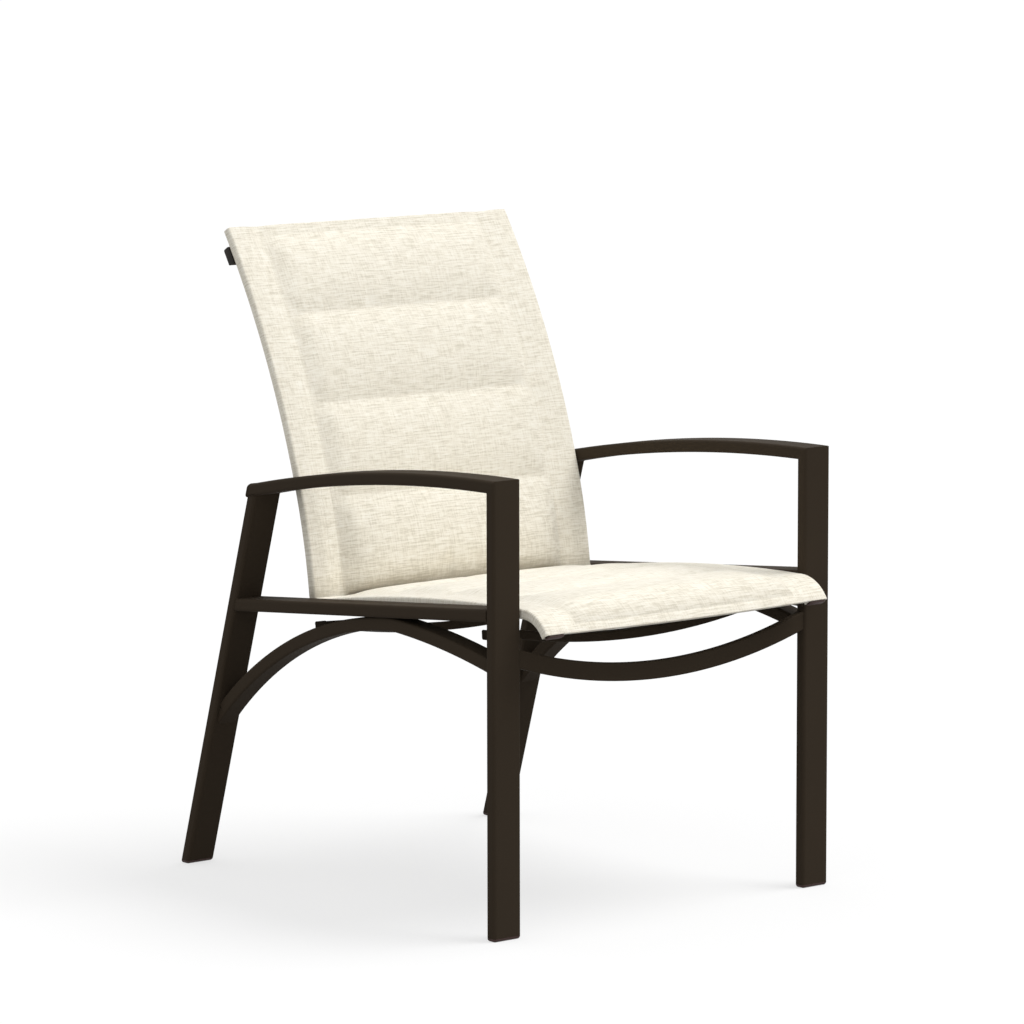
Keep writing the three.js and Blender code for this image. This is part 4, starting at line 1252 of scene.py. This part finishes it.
def make_sling():
    points, faces, lay, free = sling_mesh()
    piece = new_object("padded_sling", points, faces, math.radians(180))
    attribute = piece.data.attributes.new("lay", "FLOAT_VECTOR", "POINT")
    attribute.data.foreach_set("vector", np.array(lay).ravel())
    swell(piece, free)
    smooth = piece.modifiers.new("smooth", "SUBSURF")
    smooth.levels = 1
    smooth.render_levels = 1
    depsgraph = bpy.context.evaluated_depsgraph_get()
    mesh = bpy.data.meshes.new_from_object(piece.evaluated_get(depsgraph))
    piece.modifiers.remove(smooth)
    piece.data = mesh
    mesh.name = "padded_sling"
    finished(piece, WOVEN_CREAM, "sling", "seat_sling", "back_sling")
    return piece


# Stitches: rows laid on the finished cloth
STITCHES = {
    "Pitch": 5.4 * MM, "Long": 4.2 * MM, "Thick": 0.85 * MM, "Variation": 0.06, "Seed": 11,
}
STITCH_SINK = 0.12 * MM
CLOTH_SEARCH = 12 * MM
SEARCH_ABOVE = 10.5 * MM
SEARCH_BELOW = 8 * MM
STITCH_SIDE_GAP = 5 * MM
HEM_STITCH = 5 * MM
TOP_STITCH = 4.5 * MM
SLEEVE_STITCH = INNER_X - 2 * MM
HIP_STITCH_GAP = 20 * MM
STITCH_GUIDE_STEP = 4 * MM
FULL_GUIDE_POINTS = 140
INNER_GUIDE_POINTS = 110


def make_stitches(sling):
    """Rows of stitches along the channels, the creases, the hem and the top, laid on the swollen cloth."""
    surface = BVHTree.FromObject(sling, bpy.context.evaluated_depsgraph_get())

    def found(x, distance, off):
        """The cloth seen from off the rails' middle: from over it, or from below where off is negative."""
        y, z, angle = RAIL_ROUTE.at(distance)
        middle = Vector((x, y + FRONT_Y, z))
        normal = Vector((0, -math.sin(angle), math.cos(angle)))
        inward = -normal if off > 0 else normal
        hit, facing, _, _ = surface.ray_cast(middle + normal * off, inward, CLOTH_SEARCH)
        if hit is None:
            return middle + normal * SLEEVE_HALF if off > 0 else None
        return hit - facing * STITCH_SINK

    def over(x, distance):
        return found(x, distance, SEARCH_ABOVE)

    full = np.linspace(-SLING_HALF + STITCH_SIDE_GAP, SLING_HALF - STITCH_SIDE_GAP, FULL_GUIDE_POINTS)
    inner = np.linspace(-CREASE_X, CREASE_X, INNER_GUIDE_POINTS)
    lines = []
    for edge in PANEL_EDGES:
        if edge == HIP_MIDDLE:
            continue
        lines.append([over(x, edge) for x in (full if edge in OUTER_EDGES else inner)])
        below = [found(x, edge, -SEARCH_BELOW) for x in inner]
        if None not in below:
            lines.append(below)
    for edge in (HEM_STITCH, SLING_END - TOP_STITCH):
        lines.append([over(x, edge) for x in full])
    for sign in (-1, 1):
        seat = np.arange(OUTER_EDGES[0], HIP_MIDDLE - HIP_STITCH_GAP, STITCH_GUIDE_STEP)
        back = np.arange(HIP_MIDDLE + HIP_STITCH_GAP, OUTER_EDGES[1], STITCH_GUIDE_STEP)
        for distances in (seat, back):
            for x in (CREASE_X, SLEEVE_STITCH):
                lines.append([over(sign * x, distance) for distance in distances])
    graph, identifiers = bead_tool("stitch_tool", SEWING_THREAD, segments=6, rings=5)
    guide = guide_lines("stitch_guide", lines, closed=False)
    finished(run_tool(graph, identifiers, guide, STITCHES, "stitches"), SEWING_THREAD, "sling")


# Screws: button heads with a hexagon socket
SCREW_STEPS = 24
SCREW_RADIUS = 3 * MM
SCREW_LENGTH = 6 * MM
SCREW_HEAD_RADIUS = 5.5 * MM
SCREW_HEAD_THICK = 3.2 * MM
SCREW_RIM = 0.25 * MM
SCREW_RIM_INSET = 0.2 * MM
SCREW_DOME_STEPS = 5
SCREW_DOME_TURN = 0.99936 * QUARTER_TURN
SOCKET_RADIUS = 2.3 * MM
SOCKET_DEPTH = 1.9 * MM
SOCKET_LIP = 0.4 * MM
SOCKET_LIP_DROP = 0.15 * MM
FRONT_CLEAT_REACH = 112 * MM
REAR_CLEAT_REACH = 385 * MM
PLATE_THICK = 2.5 * MM
FIT_GAP = 0.3 * MM


def screw_ring(radius, z, corners=0):
    """A ring of the screw: a circle, or a polygon of some corners."""
    ring = []
    for step in range(SCREW_STEPS):
        angle = 2 * math.pi * step / SCREW_STEPS
        reach = radius
        if corners:
            half = math.pi / corners
            reach = radius * math.cos(half) / math.cos(angle % (2 * half) - half)
        ring.append(Vector((reach * math.cos(angle), reach * math.sin(angle), z)))
    return ring


def screw_rings():
    """Rings from the shank's end up to the head's rim, over the dome and down into the hexagon socket."""
    rings = [
        screw_ring(SCREW_RADIUS, SCREW_LENGTH),
        screw_ring(SCREW_RADIUS, 0),
        screw_ring(SCREW_HEAD_RADIUS - SCREW_RIM_INSET, 0),
        screw_ring(SCREW_HEAD_RADIUS, -SCREW_RIM),
    ]
    lip = SOCKET_RADIUS + SOCKET_LIP
    for step in range(1, SCREW_DOME_STEPS + 1):
        angle = SCREW_DOME_TURN * step / SCREW_DOME_STEPS
        radius = lip + (SCREW_HEAD_RADIUS - lip) * math.cos(angle)
        rings.append(screw_ring(radius, -SCREW_RIM - (SCREW_HEAD_THICK - SCREW_RIM) * math.sin(angle)))
    rings.append(screw_ring(SOCKET_RADIUS, -SCREW_HEAD_THICK + SOCKET_LIP_DROP, 6))
    rings.append(screw_ring(SOCKET_RADIUS, -SCREW_HEAD_THICK + SOCKET_DEPTH, 6))
    return rings


def make_screws():
    """Six screws from one head, set in place by a tree that reads where each stands and faces."""
    places = []
    facings = []
    seat_centre = SEAT_RADIUS - SLEEVE_HALF
    stops = [
        (KNEE_END + seat_centre * math.asin(reach / seat_centre), SLEEVE_HALF + PLATE_THICK + 2 * FIT_GAP)
        for reach in (FRONT_CLEAT_REACH, REAR_CLEAT_REACH)
    ]
    stops.append((RAIL_ROUTE.length - BACK_BAR_DROP, SLEEVE_HALF + BAR_THICK + 2 * FIT_GAP))
    for _, sign in SIDES:
        for distance, depth in stops:
            y, z, angle = moved_line(RAIL_ROUTE.at(distance), -depth)
            places.append((sign * RAIL_X, y + FRONT_Y, z))
            facings.append((0, -math.sin(angle), math.cos(angle)))
    template = loft("screw_template", screw_rings())
    template.data.transform(Matrix.Translation((0, -FRONT_Y, 0)))
    inputs = {"Head": "NodeSocketObject", "Size": "NodeSocketFloat"}
    graph, sockets, identifiers = new_tool("screw_tool", inputs)
    head = graph.node("GeometryNodeObjectInfo", None, {"Object": sockets["Head"]}, output="Geometry")
    facing = graph.node(
        "GeometryNodeInputNamedAttribute", {"data_type": "FLOAT_VECTOR"}, {"Name": "facing"}
    )
    turn = graph.node("FunctionNodeAlignRotationToVector", {"axis": "Z"}, {"Vector": facing})
    screws = graph.node(
        "GeometryNodeInstanceOnPoints",
        None,
        {"Points": sockets["Geometry"], "Instance": head, "Rotation": turn, "Scale": sockets["Size"]},
    )
    close_tool(graph, screws, DULLED_STEEL)
    mesh = bpy.data.meshes.new("screw_guide")
    mesh.from_pydata(places, [], [])
    attribute = mesh.attributes.new("facing", "FLOAT_VECTOR", "POINT")
    attribute.data.foreach_set("vector", np.array(facings).ravel())
    guide = added("screw_guide", mesh)
    values = {"Head": template, "Size": 1.0}
    piece = run_tool(graph, identifiers, guide, values, "button_screws")
    bpy.data.objects.remove(template)
    piece.data.set_sharp_from_angle(angle=SMOOTH_ANGLE)
    nodes = [f"rail_screw_{where}_{tag}" for tag, _ in SIDES for where in ("front", "rear")]
    nodes += [f"back_screw_{tag}" for tag, _ in SIDES]
    finished(piece, DULLED_STEEL, "screws", *nodes)


# Camera fitted to the frame's straight edges in the photograph
CAMERA_PLACE = Vector((-4.9382, -5.6615, 1.5906))
CAMERA_AZIMUTH = math.radians(-39.468)
CAMERA_ELEVATION = math.radians(7.761)
CAMERA_ROLL = math.radians(-0.104)
CAMERA_LENS = 192.26
CAMERA_SENSOR = 36
CAMERA_REACH = 400


def make_camera():
    back = Vector((
        math.sin(CAMERA_AZIMUTH) * math.cos(CAMERA_ELEVATION),
        -math.cos(CAMERA_AZIMUTH) * math.cos(CAMERA_ELEVATION),
        math.sin(CAMERA_ELEVATION),
    ))
    level = (-back).cross(Vector((0, 0, 1))).normalized()
    up = level.cross(-back)
    right = math.cos(CAMERA_ROLL) * level + math.sin(CAMERA_ROLL) * up
    over = math.cos(CAMERA_ROLL) * up - math.sin(CAMERA_ROLL) * level
    data = bpy.data.cameras.new("camera")
    data.lens = CAMERA_LENS
    data.sensor_width = CAMERA_SENSOR
    data.clip_end = CAMERA_REACH
    camera = added("camera", data)
    turn = Matrix((right, over, back)).transposed().to_4x4()
    camera.matrix_world = Matrix.Translation(CAMERA_PLACE + Vector((0, FRONT_Y, 0))) @ turn
    bpy.context.scene.camera = camera


# Light and floor: a sun has its direction, its strength and its spread
WHITE = (1.0, 1.0, 1.0)
WORLD_LIGHT = 0.62
OVERHEAD_SUN = ((0.44, -0.27, 0.857), 0.645, math.radians(36))
FILL_SUN = ((-0.62, -0.72, 0.28), 0.175, math.radians(60))
FLOOR_SIZE = 240.0
FLOOR_COLOR = (0.30, 0.30, 0.30)
FLOOR_GLOW = 0.66


def make_world():
    """Even studio light; what the camera, gloss and glass see of it is white."""
    world = bpy.data.worlds.new("studio")
    bpy.context.scene.world = world
    graph = emptied(world)
    strength = WORLD_LIGHT + (1 - WORLD_LIGHT) * seen_share(graph)
    light = graph.node("ShaderNodeBackground", None, {"Color": WHITE, "Strength": strength})
    graph.node("ShaderNodeOutputWorld", None, {"Surface": light})


def make_sun(name, direction, strength, spread):
    data = bpy.data.lights.new(name, "SUN")
    data.energy = strength * math.pi
    data.angle = spread
    lamp = added(name, data)
    lamp.rotation_mode = "QUATERNION"
    lamp.rotation_quaternion = Vector(direction).to_track_quat("Z", "Y")


def seen_share(graph):
    """1 for what the camera, gloss and glass see, and 0 for light that reaches the object."""
    kinds = ("Camera", "Glossy", "Transmission")
    rays = [graph.node("ShaderNodeLightPath", output=f"Is {kind} Ray") for kind in kinds]
    return (rays[0] + rays[1] + rays[2]).clamped()


def pale_floor():
    """White where it is seen, with the object's shadow, and grey to the light that it throws back."""
    material = bpy.data.materials.new("pale_floor")
    graph = emptied(material)
    seen = seen_share(graph)
    matt = graph.node("ShaderNodeBsdfDiffuse", None, {"Color": FLOOR_COLOR})
    glow = graph.node("ShaderNodeEmission", None, {"Color": WHITE, "Strength": FLOOR_GLOW})
    white = graph.node("ShaderNodeAddShader", None, {0: matt, 1: glow})
    surface = graph.node("ShaderNodeMixShader", None, {0: seen, 1: matt, 2: white})
    graph.node("ShaderNodeOutputMaterial", None, {"Surface": surface})
    return material


def make_floor():
    half = FLOOR_SIZE / 2
    mesh = bpy.data.meshes.new("floor")
    corners = [(-half, -half, 0), (half, -half, 0), (half, half, 0), (-half, half, 0)]
    mesh.from_pydata(corners, [], [(0, 1, 2, 3)])
    mesh.materials.append(pale_floor())
    added("floor", mesh)


bpy.context.scene.view_settings.view_transform = "Standard"
make_camera()
make_world()
make_sun("overhead", *OVERHEAD_SUN)
make_sun("fill", *FILL_SUN)
make_floor()
make_side_frames()
make_stretcher()
make_seat_bars()
make_back_bar()
make_glides()
make_small_parts()
make_welds()
make_screws()
make_stitches(make_sling())
